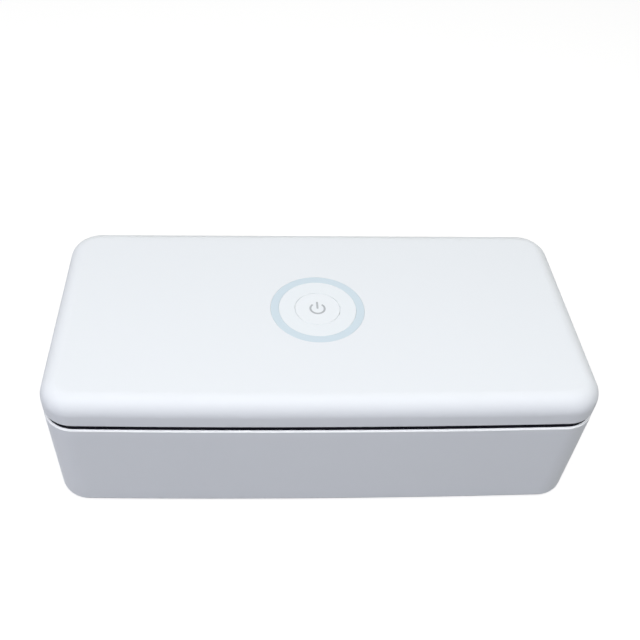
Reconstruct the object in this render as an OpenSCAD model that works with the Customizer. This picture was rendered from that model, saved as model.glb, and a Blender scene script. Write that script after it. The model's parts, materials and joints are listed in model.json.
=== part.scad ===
// Sanitizer box for phones: a deep base with a lit chamber, a hinged lid and one lit power button.
// Millimetres. +Z is up, the front faces -Y, and the box stands on its feet at z = 0.
// Below, "inset" always means how far in from the outer side faces a line runs.

/* [Body] */
// Width of the box, left to right
body_w = 230; // [215:1:260]
// Depth of the box without the hinge barrels
body_d = 112; // [106:1:130]
// Height from the feet to the top of the lid
body_h = 68; // [64:1:80]
// Corner radius seen from above
corner_r = 14; // [13:0.5:16]
// Thickness of the base and lid walls
wall = 2.4; // [2:0.1:2.6]
// How far the base walls lean in between the rim and the foot
draft = 0.6; // [0:0.1:1.2]
// Radius round the bottom edge of the base
foot_edge_r = 3; // [2:0.2:3.4]

/* [Lid] */
// Height of the lid's outer shell
lid_h = 13.1; // [13:0.1:16]
// Radius round the top edge of the lid
lid_edge_r = 7.8; // [5:0.2:9]
// Gap between the lid and the base, filled by the seal
lid_gap = 2.8; // [2.4:0.1:3.2]
// Radius on the lower edge of the lid
lid_lower_r = 0.6; // [0.3:0.1:1]
// Thickness of the reflector panel in the lid
lid_panel_t = 1.8; // [1.5:0.1:2]
// How far the panel sits above the lid's lower edge
lid_panel_up = 0.6; // [0.4:0.1:0.8]
// Thickness of the rib that presses on the seal
seal_rib_t = 1.2; // [0.8:0.1:1.6]

/* [Rim and seal] */
// Thickness of the lip round the top of the base
lip_t = 1; // [0.8:0.1:1.4]
// Depth of the seal groove below the lip's top
groove_depth = 2.6; // [2:0.1:3]
// Width of the seal
seal_w = 3; // [2.4:0.1:3.2]
// How far the seal stands above the lip
seal_proud = 2.1; // [1.7:0.1:2.3]

/* [Chamber] */
// Inset of the chamber's inner wall
chamber_inset = 10.5; // [10.3:0.1:11.5]
// Wall and floor thickness of the reflector tub
tub_t = 1.5; // [1.3:0.1:1.6]
// Height of the space for electronics under the tub
under_h = 12.9; // [12:0.1:15]
// Radius where the tub's wall meets its floor
tub_floor_r = 3; // [1:0.5:4]
// How far the tub's flat rim stands above the lip
tub_rim_up = 0.8; // [0.4:0.1:1.4]

/* [Button and light ring] */
// Diameter of the button
button_d = 19.6; // [16:0.2:20.4]
// Travel of the button
button_travel = 0.6; // [0.3:0.1:0.9]
// Gap between the button and its bezel
button_gap = 0.25; // [0.15:0.05:0.35]
// Outer diameter of the light ring
ring_outer_d = 41.4; // [40:0.2:43]
// Inner diameter of the light ring
ring_inner_d = 34.2; // [33.6:0.2:35]
// Thickness of the visible part of the bezel and ring
ring_face_t = 1.4; // [1.1:0.1:1.6]
// Wall thickness of the light guide under the ring
guide_t = 2.4; // [1.8:0.1:3]
// Outer radius of the power symbol
icon_r = 3.6; // [3:0.1:4.5]
// Line width of the power symbol
icon_line = 0.9; // [0.6:0.1:1.2]
// Half the angle over which the power symbol's ring is open
icon_open = 39; // [25:1:50]

/* [Hinge] */
// Distance of each hinge from the middle of the box
hinge_x = 62; // [50:1:70]
// Outer diameter of the hinge barrels
barrel_d = 6.4; // [6:0.1:7]
// Distance of the hinge axis behind the rear face
hinge_back = 3; // [2.7:0.1:3.4]
// Diameter of the hinge pins
pin_d = 2.5; // [2:0.1:3]
// Length of a knuckle on the lid
lid_knuckle_l = 18; // [14:1:22]
// Length of a knuckle on the base
base_knuckle_l = 8; // [6:1:10]
// Gap between neighbouring knuckles
knuckle_gap = 0.3; // [0.2:0.05:0.5]
// Angle at which the lid's stop ribs meet the base
lid_open = 101; // [91:1:110]
// Reach of the stop ribs from the hinge axis
stop_r = 4; // [3.8:0.1:4.2]
// Diameter of the cable between base and lid
cable_d = 2.2; // [1.8:0.1:2.3]

/* [Feet and cover] */
// Diameter of the rubber feet
foot_d = 10; // [8:0.5:12]
// How far the feet stand below the base
foot_proud = 1.2; // [0.8:0.1:1.8]
// Depth of the feet's recesses in the cover
foot_recess = 1; // [0.6:0.1:1.2]
// Thickness of the bottom cover
cover_t = 2.4; // [2:0.1:2.8]
// Inset of the opening for the bottom cover
cover_inset = 5; // [4.8:0.1:5.4]
// Width of the shelf that the cover closes against
cover_shelf = 3; // [2:0.1:4]

/* [Screws] */
// Outer diameter of the case screws' thread
case_screw_d = 2.6; // [2.2:0.1:3]
// Diameter of the case screws' heads
case_head_d = 5; // [4.6:0.1:5.4]
// Length of the case screws below the head
case_screw_l = 8; // [6:0.5:10]
// Length of the lid panel's screws below the head
lid_screw_l = 6; // [5:0.5:7]
// Outer diameter of the board screws' thread
board_screw_d = 1.8; // [1.6:0.1:2]
// Diameter of the board screws' heads
board_head_d = 3.4; // [3:0.1:3.6]

/* [Lamps] */
// Free diameter of the lamp windows
window_d = 6.8; // [6:0.1:7.4]
// Diameter of the quartz lenses
lens_d = 8.4; // [8:0.1:9]
// Thickness of the quartz lenses
lens_t = 0.8; // [0.6:0.1:0.9]
// Side of a lamp chip
chip_side = 3.5; // [3:0.1:4]
// Distance between the lamps in the base
base_lamp_pitch = 44; // [38:1:46]
// Distance between the two lamps of a lid board
lid_lamp_pitch = 30; // [26:1:34]
// Distance of the lid's lamp boards from the middle
lid_board_x = 64; // [62:1:68]

/* [Driver board] */
// Width of the driver board
driver_w = 50; // [48:1:52]
// Depth of the driver board
driver_d = 34; // [34:0.5:36]
// Distance of the driver board from the middle of the box
driver_x = 38; // [36:1:40]
// Height of the spacers under the driver board
driver_spacer = 4.4; // [4:0.1:5]
// Thickness of the circuit boards
board_t = 1.6; // [1.2:0.1:1.6]

/* [Magnets] */
// Length of the closing magnets
magnet_l = 12; // [8:0.5:14]
// Width of the closing magnets
magnet_w = 3; // [2:0.1:3]
// Thickness of the closing magnets
magnet_t = 2.4; // [1.6:0.1:2.6]
// Distance of the closing magnets from the middle
magnet_x = 64; // [56:1:68]

/* [Phone rack] */
// Gap between the rack and the chamber's walls
rack_gap = 6; // [5.5:0.5:9]
// Height of the rack's frame wire above the chamber floor
rack_up = 6; // [5:0.5:8]
// Diameter of the frame wire
frame_wire_d = 2.4; // [2:0.1:3]
// Diameter of the cross wires
cross_wire_d = 1.8; // [1.4:0.1:2.2]
// Number of cross wires
cross_wires = 11; // [9:1:13]

/* [Hidden] */
$fn = 64;
eps = 0.01;          // overshoot of a cut past the face it starts from
fit = 0.1;           // clearance between fixed pieces
free_gap = 0.3;      // clearance between moving pieces

// axes of the corner rounding
axis_x = body_w / 2 - corner_r;
axis_y = body_d / 2 - corner_r;

// heights, from the feet up
shell_z = foot_proud;
cover_top = shell_z + cover_t;
shelf_top = cover_top + 1.6;
floor_under = cover_top + under_h;
floor_top = floor_under + tub_t;
lid_z = body_h - lid_h;
rim_z = lid_z - lid_gap;
groove_z = rim_z - groove_depth;
seal_top = rim_z + seal_proud;
tub_rim_z = rim_z + tub_rim_up;
tub_step_z = groove_z - tub_t;
ledge_t = 1.2;
lid_ceiling = body_h - wall;
panel_z = lid_z + lid_panel_up;
panel_top = panel_z + lid_panel_t;

// insets of the rim's parts
seal_in = lip_t + fit;
seal_out = seal_in + seal_w;
tub_step_in = wall + 2 * fit;
web_in = seal_out + fit;
tub_wall_in = chamber_inset - tub_t;
ledge_in = web_in + tub_t - 4 * fit;
panel_in = wall + free_gap;

// hinge
barrel_r = barrel_d / 2;
hinge_y = body_d / 2 + hinge_back;
hinge_z = rim_z + lid_gap / 2;
scoop_r = barrel_r + free_gap;
stop_wedge = 24;
stop_rest = lid_open - acos(-hinge_back / stop_r);   // where the stop rib's tip lies while the lid is closed
rear_reach = max(barrel_r, stop_rest + stop_wedge > 0 ? stop_r : stop_r * cos(stop_rest + stop_wedge));
middle_y = -(hinge_back + rear_reach) / 2;           // puts the origin in the middle of the outline
pin_l = lid_knuckle_l + 2 * (base_knuckle_l + knuckle_gap);
arm_drop = 9;
arm_in = 0.7 * lip_t;                                // how deep the hinge arms reach into the walls
conduit_l = 14;
conduit_x = 9;
conduit_w = 10;
conduit_exit_z = rim_z - 14;
conduit_lid_z = panel_top + cable_d / 2 + 0.2;
conduit_bore_r = cable_d / 2 + free_gap;
conduit_roof = 0.8;                                  // over the cable's bore in the lid

// button stack, from the top down
ring_seat_z = body_h - ring_face_t;
ring_flange_t = 1.4;
ring_flange_z = ring_seat_z - ring_flange_t;
ring_flange_r = ring_outer_d / 2 + 2.6;
ring_mid_r = (ring_inner_d + ring_outer_d) / 4;
button_board_r = 31;
button_board_t = 1.2;
button_board_top = lid_ceiling - 4.4;
button_board_z = button_board_top - button_board_t;
bezel_bore_r = button_d / 2 + button_gap;
bezel_neck_r = ring_inner_d / 2 - 2.2;
button_cap_t = 1.6;
button_flange_r = button_d / 2 + 1;
button_flange_t = 0.8;
button_room_r = button_flange_r + button_gap;
switch_side = 6;
switch_h = 1.8;
plunger_r = 1.7;
plunger_h = 0.9;
icon_depth = 0.3;

// screws
case_head_t = 1.6;
board_head_t = 1.1;
board_screw_l = 4.4;

// places of repeated pieces, in the box's own frame
corner_signs = [[1, 1], [-1, 1], [-1, -1], [1, -1]];
foot_places = [for (s = corner_signs) [s.x * (body_w / 2 - 18), s.y * (body_d / 2 - 16)]];
case_boss_x = body_w / 2 - 37;
case_boss_y = body_d / 2 - 20;
case_places = [for (x = [-1, 0, 1]) for (y = [-1, 1]) [x * case_boss_x, y * case_boss_y]];
lid_boss_places = [for (x = [-1, 0, 1]) for (y = [-1, 1]) [x * (body_w / 2 - 20), y * (body_d / 2 - 15)]];
base_lamps = [for (i = [-1.5:1:1.5]) i * base_lamp_pitch];
lid_lamps = [for (s = [-1, 1]) for (i = [-0.5, 0.5]) s * lid_board_x + i * lid_lamp_pitch];
base_board_w = 3 * base_lamp_pitch + 24;
lid_board_w = lid_lamp_pitch + 20;
lamp_board_d = 15;
lamp_air = 0.9;                                // from chip to lens
lamp_spacer = lamp_air + 1;                    // chip height and air
base_led_top = floor_under - lamp_spacer;
lid_led_z = panel_top + lamp_spacer;
magnet_inset = (web_in + chamber_inset) / 2;
magnet_y = -body_d / 2 + magnet_inset;
magnet_cover = 0.8;                            // tub material above the magnets
magnet_z = tub_rim_z - magnet_cover - magnet_t;
sensor_magnet_l = 6;
sensor_x = max(body_w / 2 - 32, magnet_x + magnet_l / 2 + sensor_magnet_l + 6);
sensor_board = [14, 0.8, 8];
sensor_wall_y = -body_d / 2 + tub_wall_in;
sensor_top = tub_rim_z - tub_t - free_gap;
driver_z = cover_top + driver_spacer;
driver_top = driver_z + board_t;
driver_y1 = body_d / 2 - wall - 1;
driver_y = driver_y1 - driver_d / 2;
driver_hole_x = driver_w / 2 - 3.5;
driver_rear_hole_y = body_d / 2 - cover_inset - cover_shelf - 3.4;
driver_front_hole_y = driver_y - driver_d / 2 + 3.5;
driver_holes = [for (s = [-1, 1]) for (y = [driver_front_hole_y, driver_rear_hole_y]) [driver_x + s * driver_hole_x, y]];
header_x = driver_x - driver_w / 2 + 3;
header_face_x = header_x - 2;
header_ys = [for (i = [0:2]) driver_front_hole_y + 5.6 + i * 6];

// USB-C inlet, standard sizes
usb_w = 8.94;
usb_h = 3.26;
usb_l = 7.3;
usb_wall = 0.3;
usb_x = driver_x;
usb_z = driver_top + usb_h / 2;
usb_pocket = 1;

// ---------- shared shapes ----------

// Sweeps a corner profile round the box. The profile's x runs out from the corner axis, its y is height.
module sweep_round() {
    for (k = [0:3]) {
        a = k % 2 == 0 ? axis_x : axis_y;
        b = k % 2 == 0 ? axis_y : axis_x;
        rotate(90 * k) translate([a, b, 0]) {
            rotate_extrude(angle = 90) children();
            rotate([90, 0, 0]) linear_extrude(2 * b) children();
        }
    }
}

// The flat middle that closes a swept profile.
module core(z0, z1) {
    block(2 * axis_x, 2 * axis_y, z0, z1);
}

// A rectangle of the corner profile between two insets and two heights.
module band(in0, in1, z0, z1) {
    translate([corner_r - in1, z0]) square([in1 - in0, z1 - z0]);
}

// Flat plate with round corners, inset from the box's outline.
module plate(inset, z0, z1) {
    sweep_round() band(inset, corner_r, z0, z1);
    core(z0, z1);
}

// Block centred on the Z axis.
module block(l, w, z0, z1) {
    translate([-l / 2, -w / 2, z0]) cube([l, w, z1 - z0]);
}

// Flat ring about Z.
module ring(r0, r1, z0, z1) {
    translate([0, 0, z0]) difference() {
        cylinder(r = r1, h = z1 - z0);
        translate([0, 0, -1]) cylinder(r = r0, h = z1 - z0 + 2);
    }
}

// Quarter of a disc, its corner at the origin.
module quarter(r) {
    intersection() {
        circle(r);
        square(r + 1);
    }
}

// Oblong with round ends along X.
module slot2d(w, h) {
    square([w - h, h], center = true);
    for (s = [-1, 1]) translate([s * (w - h) / 2, 0]) circle(h / 2);
}

// Pan-head screw, its head's seat at z = 0 and its thread pointing up.
module screw(d, head_d, head_t, l) {
    cylinder(d = d, h = l);
    translate([0, 0, -head_t]) difference() {
        cylinder(d = head_d, h = head_t);
        translate([0, 0, -1]) {
            for (a = [0, 90]) rotate(a) translate([-head_d * 0.3, -0.35, 0]) cube([head_d * 0.6, 0.7, 1 + head_t / 2]);
        }
    }
}

// Everything on the hinge axis: children are drawn in (y, z) about it and run along X.
module along_hinge(x0, x1) {
    translate([x0, hinge_y, hinge_z]) rotate([90, 0, 90]) linear_extrude(x1 - x0) children();
}

// The cable's route between two points with the bends rounded off.
function unit(v) = v / norm(v);
function corner_points(a, p, b, bend) = let (p0 = p + bend * unit(a - p), p1 = p + bend * unit(b - p))
    [for (t = [0:0.25:1]) (1 - t) * (1 - t) * p0 + 2 * t * (1 - t) * p + t * t * p1];
function rounded(p, bend) = concat([p[0]],
    [for (i = [1:len(p) - 2]) each corner_points(p[i - 1], p[i], p[i + 1], bend)], [p[len(p) - 1]]);
function tangent(p, i) = unit(p[min(i + 1, len(p) - 1)] - p[max(i - 1, 0)]);
function square_to(n, t) = unit(n - (n * t) * t);
function frames(p, i, n) = i == len(p) ? [] : let (s = square_to(n, tangent(p, i)))
    concat([s], frames(p, i + 1, s));
function start_normal(t) = abs(t.z) < 0.9 ? [0, 0, 1] : [1, 0, 0];

// Round lead along a list of points.
module lead(route, d, bend = 2, sides = 8) {
    p = rounded(route, bend);
    f = frames(p, 0, start_normal(tangent(p, 0)));
    n = len(p);
    points = [for (i = [0:n - 1]) for (k = [0:sides - 1]) let (a = 360 * k / sides)
        p[i] + d / 2 * (cos(a) * f[i] + sin(a) * cross(tangent(p, i), f[i]))];
    sides_a = [for (i = [0:n - 2]) for (k = [0:sides - 1])
        [i * sides + k, i * sides + (k + 1) % sides, (i + 1) * sides + k]];
    sides_b = [for (i = [0:n - 2]) for (k = [0:sides - 1])
        [i * sides + (k + 1) % sides, (i + 1) * sides + (k + 1) % sides, (i + 1) * sides + k]];
    first = [for (k = [1:sides - 2]) [0, k + 1, k]];
    last = [for (k = [1:sides - 2]) [(n - 1) * sides, (n - 1) * sides + k, (n - 1) * sides + k + 1]];
    polyhedron(points, [for (t = concat(sides_a, sides_b, first, last)) [t[0], t[2], t[1]]]);
}

// ---------- hinge ----------

// x ranges of the knuckles of both hinges
lid_knuckles = [for (s = [-1, 1]) [s * hinge_x - lid_knuckle_l / 2, s * hinge_x + lid_knuckle_l / 2]];
base_knuckles = [for (s = [-1, 1]) for (e = [-1, 1])
    let (m = s * hinge_x + e * (lid_knuckle_l / 2 + knuckle_gap + base_knuckle_l / 2))
    [m - base_knuckle_l / 2, m + base_knuckle_l / 2]];
base_conduit = [-conduit_l, -knuckle_gap / 2];
lid_conduit = [knuckle_gap / 2, conduit_l];

module base_knuckle_section() {
    circle(barrel_r);
    polygon([[-hinge_back - arm_in, -arm_drop], [-hinge_back, -arm_drop], [barrel_r * 0.8, -barrel_r * 0.6],
        [0, 0], [-hinge_back - arm_in, -lid_gap / 2 - 0.4]]);
}

module lid_knuckle_section() {
    circle(barrel_r);
    polygon([[-hinge_back - arm_in, lid_gap / 2 + 0.4], [0, 0], [barrel_r * 0.8, barrel_r * 0.6],
        [-hinge_back, arm_drop - 2], [-hinge_back - arm_in, arm_drop - 2]]);
}

// A rib on the lid's barrel that meets the rear wall when the lid is fully open.
module stop_section() {
    rotate(stop_rest) polygon([[0, 0], [stop_r, 0], [stop_r * cos(stop_wedge), stop_r * sin(stop_wedge)]]);
}

// ---------- base ----------

wall_lean = atan(draft / (rim_z - 4 - shell_z));
foot_round_x = corner_r - draft - foot_edge_r * cos(wall_lean) + foot_edge_r * (1 - sin(wall_lean)) * tan(wall_lean);

module base_outline() {
    lean_x = foot_round_x + foot_edge_r * cos(wall_lean);
    lean_z = shell_z + foot_edge_r * (1 - sin(wall_lean));
    translate([foot_round_x, shell_z + foot_edge_r]) circle(foot_edge_r);
    translate([corner_r - lip_t / 2, rim_z - lip_t / 2]) circle(lip_t / 2);
    polygon([[0, shell_z], [foot_round_x, shell_z], [lean_x, lean_z], [corner_r, rim_z - 4],
        [corner_r, rim_z - lip_t / 2], [0, rim_z - lip_t / 2]]);
}

module base_section() {
    r = function (inset) corner_r - inset;
    difference() {
        base_outline();
        polygon([[-1, shell_z - 1], [r(cover_inset), shell_z - 1], [r(cover_inset), cover_top],
            [r(cover_inset + cover_shelf), cover_top], [r(cover_inset + cover_shelf), shelf_top],
            [r(wall), shelf_top], [r(wall), tub_step_z - ledge_t - (ledge_in - wall)],
            [r(ledge_in), tub_step_z - ledge_t], [r(ledge_in), tub_step_z], [r(wall), tub_step_z],
            [r(wall), groove_z], [r(lip_t), groove_z], [r(lip_t), rim_z + 1], [-1, rim_z + 1]]);
    }
}

module base_conduit_block() {
    z0 = conduit_exit_z - 3;
    translate([base_conduit[0], body_d / 2 - arm_in, z0])
        cube([conduit_w, hinge_back + barrel_r + arm_in, hinge_z - z0]);
}

// The lid's cable guide. Its roof slopes down at the rear, so it stays low behind the lid.
module lid_conduit_section() {
    rise = conduit_lid_z - hinge_z;
    outside = conduit_bore_r + conduit_roof;
    slope = rise + outside * sqrt(2);
    polygon([[-hinge_back - arm_in, 0], [barrel_r, 0], [barrel_r, slope - barrel_r],
        [slope - rise - outside, rise + outside], [-hinge_back - arm_in, rise + outside]]);
}

module conduit_bores(side, z_exit) {
    bore_r = conduit_bore_r;
    x0 = side < 0 ? base_conduit[0] + 2 : lid_conduit[0] - 1;
    x1 = side < 0 ? base_conduit[1] + 1 : lid_conduit[1] - 2;
    along_hinge(x0, x1) circle(bore_r);
    translate([side * conduit_x, hinge_y, min(z_exit, hinge_z)]) cylinder(r = bore_r, h = abs(hinge_z - z_exit));
    translate([side * conduit_x, hinge_y, z_exit]) sphere(r = bore_r);
    translate([side * conduit_x, hinge_y, z_exit]) rotate([90, 0, 0]) cylinder(r = bore_r, h = hinge_back + wall + 1);
}

module usb_cut() {
    // the wall leans in at this height, so the pocket is measured from the outermost line
    translate([usb_x, body_d / 2 + 1, usb_z]) rotate([90, 0, 0]) linear_extrude(1 + draft + usb_pocket) slot2d(13, 7.4);
    translate([usb_x, body_d / 2 + 1, usb_z]) rotate([90, 0, 0])
        linear_extrude(wall + draft + 4) slot2d(usb_w + 2 * fit, usb_h + 2 * fit);
}

module base_shell() {
    color("ghostwhite") difference() {
        union() {
            sweep_round() base_section();
            for (k = base_knuckles) along_hinge(k[0], k[1]) base_knuckle_section();
            along_hinge(base_conduit[0], base_conduit[1]) circle(barrel_r);
            base_conduit_block();
        }
        for (k = concat(lid_knuckles, [lid_conduit]))
            along_hinge(k[0] - knuckle_gap, k[1] + knuckle_gap) circle(scoop_r);
        for (k = base_knuckles) along_hinge(k[0] - 1, k[1] + 1) circle(pin_d / 2 + 0.01);
        conduit_bores(-1, conduit_exit_z);
        usb_cut();
    }
}

module bottom_cover() {
    color("gainsboro") difference() {
        union() {
            plate(cover_inset + fit, shell_z, cover_top);
            for (p = driver_holes) translate([p.x, p.y, cover_top - eps]) cylinder(r = 2.6, h = driver_spacer + eps);
        }
        for (p = foot_places) translate([p.x, p.y, shell_z - 1]) cylinder(d = foot_d + 2 * fit, h = 1 + foot_recess);
        for (p = case_places) translate([p.x, p.y, shell_z - 1]) {
            cylinder(d = case_screw_d + 4 * fit, h = cover_t + 2);
            cylinder(d = case_head_d + 0.6, h = 1 + case_head_t);
        }
        for (p = driver_holes) translate([p.x, p.y, driver_z - 4]) cylinder(d = board_screw_d, h = 5);
    }
}

module case_screws() {
    color("silver") for (p = case_places) translate([p.x, p.y, shell_z + case_head_t])
        screw(case_screw_d, case_head_d, case_head_t, case_screw_l);
}

module rubber_feet() {
    color("dimgray") for (p = foot_places) translate([p.x, p.y, 0]) {
        cylinder(d1 = foot_d - 1, d2 = foot_d, h = 0.5);
        translate([0, 0, 0.5]) cylinder(d = foot_d, h = shell_z + foot_recess - 0.5);
    }
}

module tub_section() {
    inner_r = corner_r - chamber_inset;
    difference() {
        union() {
            band(tub_step_in, web_in + tub_t, tub_step_z, groove_z);
            band(web_in, web_in + tub_t, tub_step_z, tub_rim_z);
            band(web_in, chamber_inset, tub_rim_z - tub_t, tub_rim_z);
            band(tub_wall_in, corner_r, floor_under, tub_rim_z);
        }
        translate([-1, floor_top + tub_floor_r]) square([1 + inner_r, tub_rim_z]);
        translate([-1, floor_top]) square([1 + inner_r - tub_floor_r, tub_floor_r + 1]);
        translate([inner_r - tub_floor_r, floor_top + tub_floor_r]) circle(tub_floor_r);
    }
}

module lamp_window(z, up) {
    // a through hole with a seat for the lens on the board's side
    translate([0, 0, z - 1]) cylinder(d = window_d, h = tub_t + lid_panel_t + 2);
    translate([0, 0, up ? z - 1 : z]) cylinder(d = lens_d + 2 * fit, h = 1 + lens_t);
}

module chamber_tub() {
    color("silver") difference() {
        union() {
            sweep_round() tub_section();
            core(floor_under, floor_top);
            for (p = case_places) translate([p.x, p.y, cover_top]) cylinder(r = 3.4, h = under_h + eps);
            for (p = base_lamp_screw_places)
                translate([p.x, p.y, base_led_top]) cylinder(r = 2.2, h = lamp_spacer + eps);
            for (s = [-1, 1]) translate([s * magnet_x, magnet_y, 0])
                block(magnet_l + 2, chamber_inset - web_in - 1.6 * tub_t, magnet_z - 0.6, tub_rim_z - eps);
        }
        for (x = base_lamps) translate([x, 0, 0]) lamp_window(floor_under, true);
        for (p = case_places) translate([p.x, p.y, cover_top - 1]) cylinder(d = case_screw_d, h = case_screw_l + 2);
        for (p = base_lamp_screw_places)
            translate([p.x, p.y, base_led_top - 1]) cylinder(d = board_screw_d, h = 1 + lamp_spacer + 0.6);
        for (s = [-1, 1]) translate([s * magnet_x, magnet_y, 0])
            block(magnet_l + 2 * fit, magnet_w + 2 * fit, magnet_z - 2, tub_rim_z - magnet_cover);
    }
}

module rim_seal() {
    color("black") sweep_round() {
        top_r = seal_w / 2;
        band(seal_in, seal_out, groove_z, seal_top - top_r);
        translate([corner_r - seal_in - top_r, seal_top - top_r]) circle(top_r);
    }
}

module base_magnets() {
    color("lightgray") for (s = [-1, 1])
        translate([s * magnet_x, magnet_y, 0]) block(magnet_l, magnet_w, magnet_z, magnet_z + magnet_t);
}

// ---------- base electronics ----------

base_lamp_screw_places = [for (x = [-1, 1]) for (y = [-1, 1]) [x * (base_board_w / 2 - 4), y * 4]];

module lamp_board(w, places, z) {
    difference() {
        translate([-w / 2, -lamp_board_d / 2, z]) cube([w, lamp_board_d, board_t]);
        for (p = places) translate([p.x, p.y, z - 1]) cylinder(d = board_screw_d + 2 * fit, h = board_t + 2);
    }
}

// A ceramic lamp package with its small dome, facing up from z = 0.
module lamp_chip() {
    translate([-chip_side / 2, -chip_side / 2, 0]) cube([chip_side, chip_side, 0.6]);
    translate([0, 0, 0.6]) cylinder(d1 = chip_side * 0.8, d2 = chip_side * 0.6, h = 0.4);
}

module base_lamp_board() {
    color("darkslategray") lamp_board(base_board_w, base_lamp_screw_places, base_led_top - board_t);
}

module base_lamp_chips() {
    color("khaki") for (x = base_lamps) translate([x, 0, base_led_top]) lamp_chip();
}

module base_lamp_lenses() {
    color("lightcyan") for (x = base_lamps) translate([x, 0, floor_under]) cylinder(d = lens_d, h = lens_t);
}

module base_lamp_screws() {
    color("silver") for (p = base_lamp_screw_places)
        translate([p.x, p.y, base_led_top - board_t]) screw(board_screw_d, board_head_d, board_head_t, board_t + lamp_spacer);
}

module driver_board() {
    color("darkgreen") difference() {
        translate([driver_x - driver_w / 2, driver_y - driver_d / 2, driver_z]) cube([driver_w, driver_d, board_t]);
        for (p = driver_holes) translate([p.x, p.y, driver_z - 1]) cylinder(d = board_screw_d + 2 * fit, h = board_t + 2);
    }
}

module driver_screws() {
    color("silver") for (p = driver_holes)
        translate([p.x, p.y, driver_top]) rotate([180, 0, 0]) screw(board_screw_d, board_head_d, board_head_t, board_screw_l);
}

module driver_inductor() {
    color("dimgray") translate([driver_x - 4, driver_y - 5, driver_top]) {
        translate([-5, -5, 0]) cube([10, 10, 1]);
        translate([0, 0, 1]) cylinder(r = 4.8, h = 3.4);
    }
}

module driver_capacitors() {
    color("gray") for (i = [0:2]) translate([driver_x + 7.6 + i * 6.2, driver_y - 6, driver_top]) {
        translate([-2.7, -2.7, 0]) cube([5.4, 5.4, 0.8]);
        translate([0, 0, 0.8]) cylinder(r = 2.5, h = 3.6);
    }
}

module driver_chip() {
    color("black") translate([driver_x - 4, driver_y + 6, driver_top]) {
        translate([-3, -2.5, 0]) cube([6, 5, 1.2]);
        for (i = [-1.5:1:1.5]) for (s = [-1, 1]) translate([i * 1.27 - 0.2, s * 2.9 - 0.5, 0]) cube([0.4, 1, 0.4]);
    }
}

module cable_headers() {
    color("ivory") for (y = header_ys) translate([header_x, y, 0]) block(4, 5, driver_top, driver_top + 4);
}

usb_mouth_y = body_d / 2 - draft - usb_pocket + 0.3;

module usb_socket_shell() {
    color("silver") translate([usb_x, usb_mouth_y, usb_z]) rotate([90, 0, 0]) difference() {
        linear_extrude(usb_l) slot2d(usb_w, usb_h);
        translate([0, 0, -1]) linear_extrude(usb_l) slot2d(usb_w - 2 * usb_wall, usb_h - 2 * usb_wall);
    }
}

module usb_socket_tongue() {
    color("black") translate([usb_x - 3.35, usb_mouth_y - usb_l + 1, usb_z - 0.35]) cube([6.7, usb_l - 2, 0.7]);
}

sensor_board_y = sensor_wall_y - 2 * fit - sensor_board.y / 2;

module lid_sensor_board() {
    color("darkgreen") translate([sensor_x, sensor_board_y, 0])
        block(sensor_board.x, sensor_board.y, sensor_top - sensor_board.z, sensor_top);
}

module lid_sensor_chip() {
    color("black") translate([sensor_x, sensor_board_y - sensor_board.y / 2 - 0.5, 0])
        block(2.9, 1, sensor_top - 2.4, sensor_top - 0.8);
}

module hinge_pins() {
    color("silver") for (s = [-1, 1]) translate([s * hinge_x - pin_l / 2, hinge_y, hinge_z])
        rotate([0, 90, 0]) cylinder(d = pin_d, h = pin_l);
}

// Cables and leads. The long one runs on the hinge axis between the two halves of the conduit.
cable_down_y = body_d / 2 - wall - cable_d / 2 - 0.6;
cable_in_z = driver_top + 2;

module base_cable() {
    color("dimgray") lead([
        [0, hinge_y, hinge_z], [-conduit_x, hinge_y, hinge_z], [-conduit_x, hinge_y, conduit_exit_z],
        [-conduit_x, cable_down_y, conduit_exit_z], [-conduit_x, cable_down_y, cable_in_z],
        [header_face_x - 6, header_ys[2], cable_in_z], [header_face_x, header_ys[2], cable_in_z]
    ], cable_d);
}

module base_lamp_leads() {
    color("firebrick") lead([
        [header_face_x, header_ys[1], cable_in_z], [header_face_x - 6, header_ys[1], cable_in_z],
        [header_face_x - 6, 12, cable_in_z - 1], [header_face_x - 6, 5, base_led_top - board_t - 2],
        [header_face_x - 6, 5, base_led_top - board_t]
    ], 1.2, 0.8);
}

module sensor_leads() {
    floor_z = cover_top + 1.6;
    rise_x = sensor_x + 6;
    rise_y = sensor_wall_y - 2;
    color("firebrick") lead([
        [header_face_x, header_ys[0], cable_in_z], [header_face_x - 4, header_ys[0], cable_in_z],
        [header_face_x - 4, 16, floor_z], [header_face_x - 4, -20, floor_z],
        [rise_x, -20, floor_z], [rise_x, rise_y + 10, floor_z], [rise_x, rise_y, shelf_top + 3],
        [rise_x, rise_y, sensor_top - sensor_board.z - 3],
        [rise_x - 1, sensor_board_y, sensor_top - sensor_board.z - 1.4],
        [rise_x - 1, sensor_board_y, sensor_top - sensor_board.z]
    ], 1.2, 0.6);
}

// ---------- phone rack ----------

frame_r = 8;
rack_w = body_w - 2 * (chamber_inset + rack_gap);
rack_d = body_d - 2 * (chamber_inset + rack_gap);
rack_z = floor_top + rack_up;
cross_z = rack_z + (frame_wire_d + cross_wire_d) / 2 - 0.4;
rack_pitch = (rack_w - 2 * frame_r) / (cross_wires - 1);
leg_places = [for (s = corner_signs) [s.x * (rack_w / 2 - frame_r - 6), s.y * rack_d / 2]];

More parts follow.
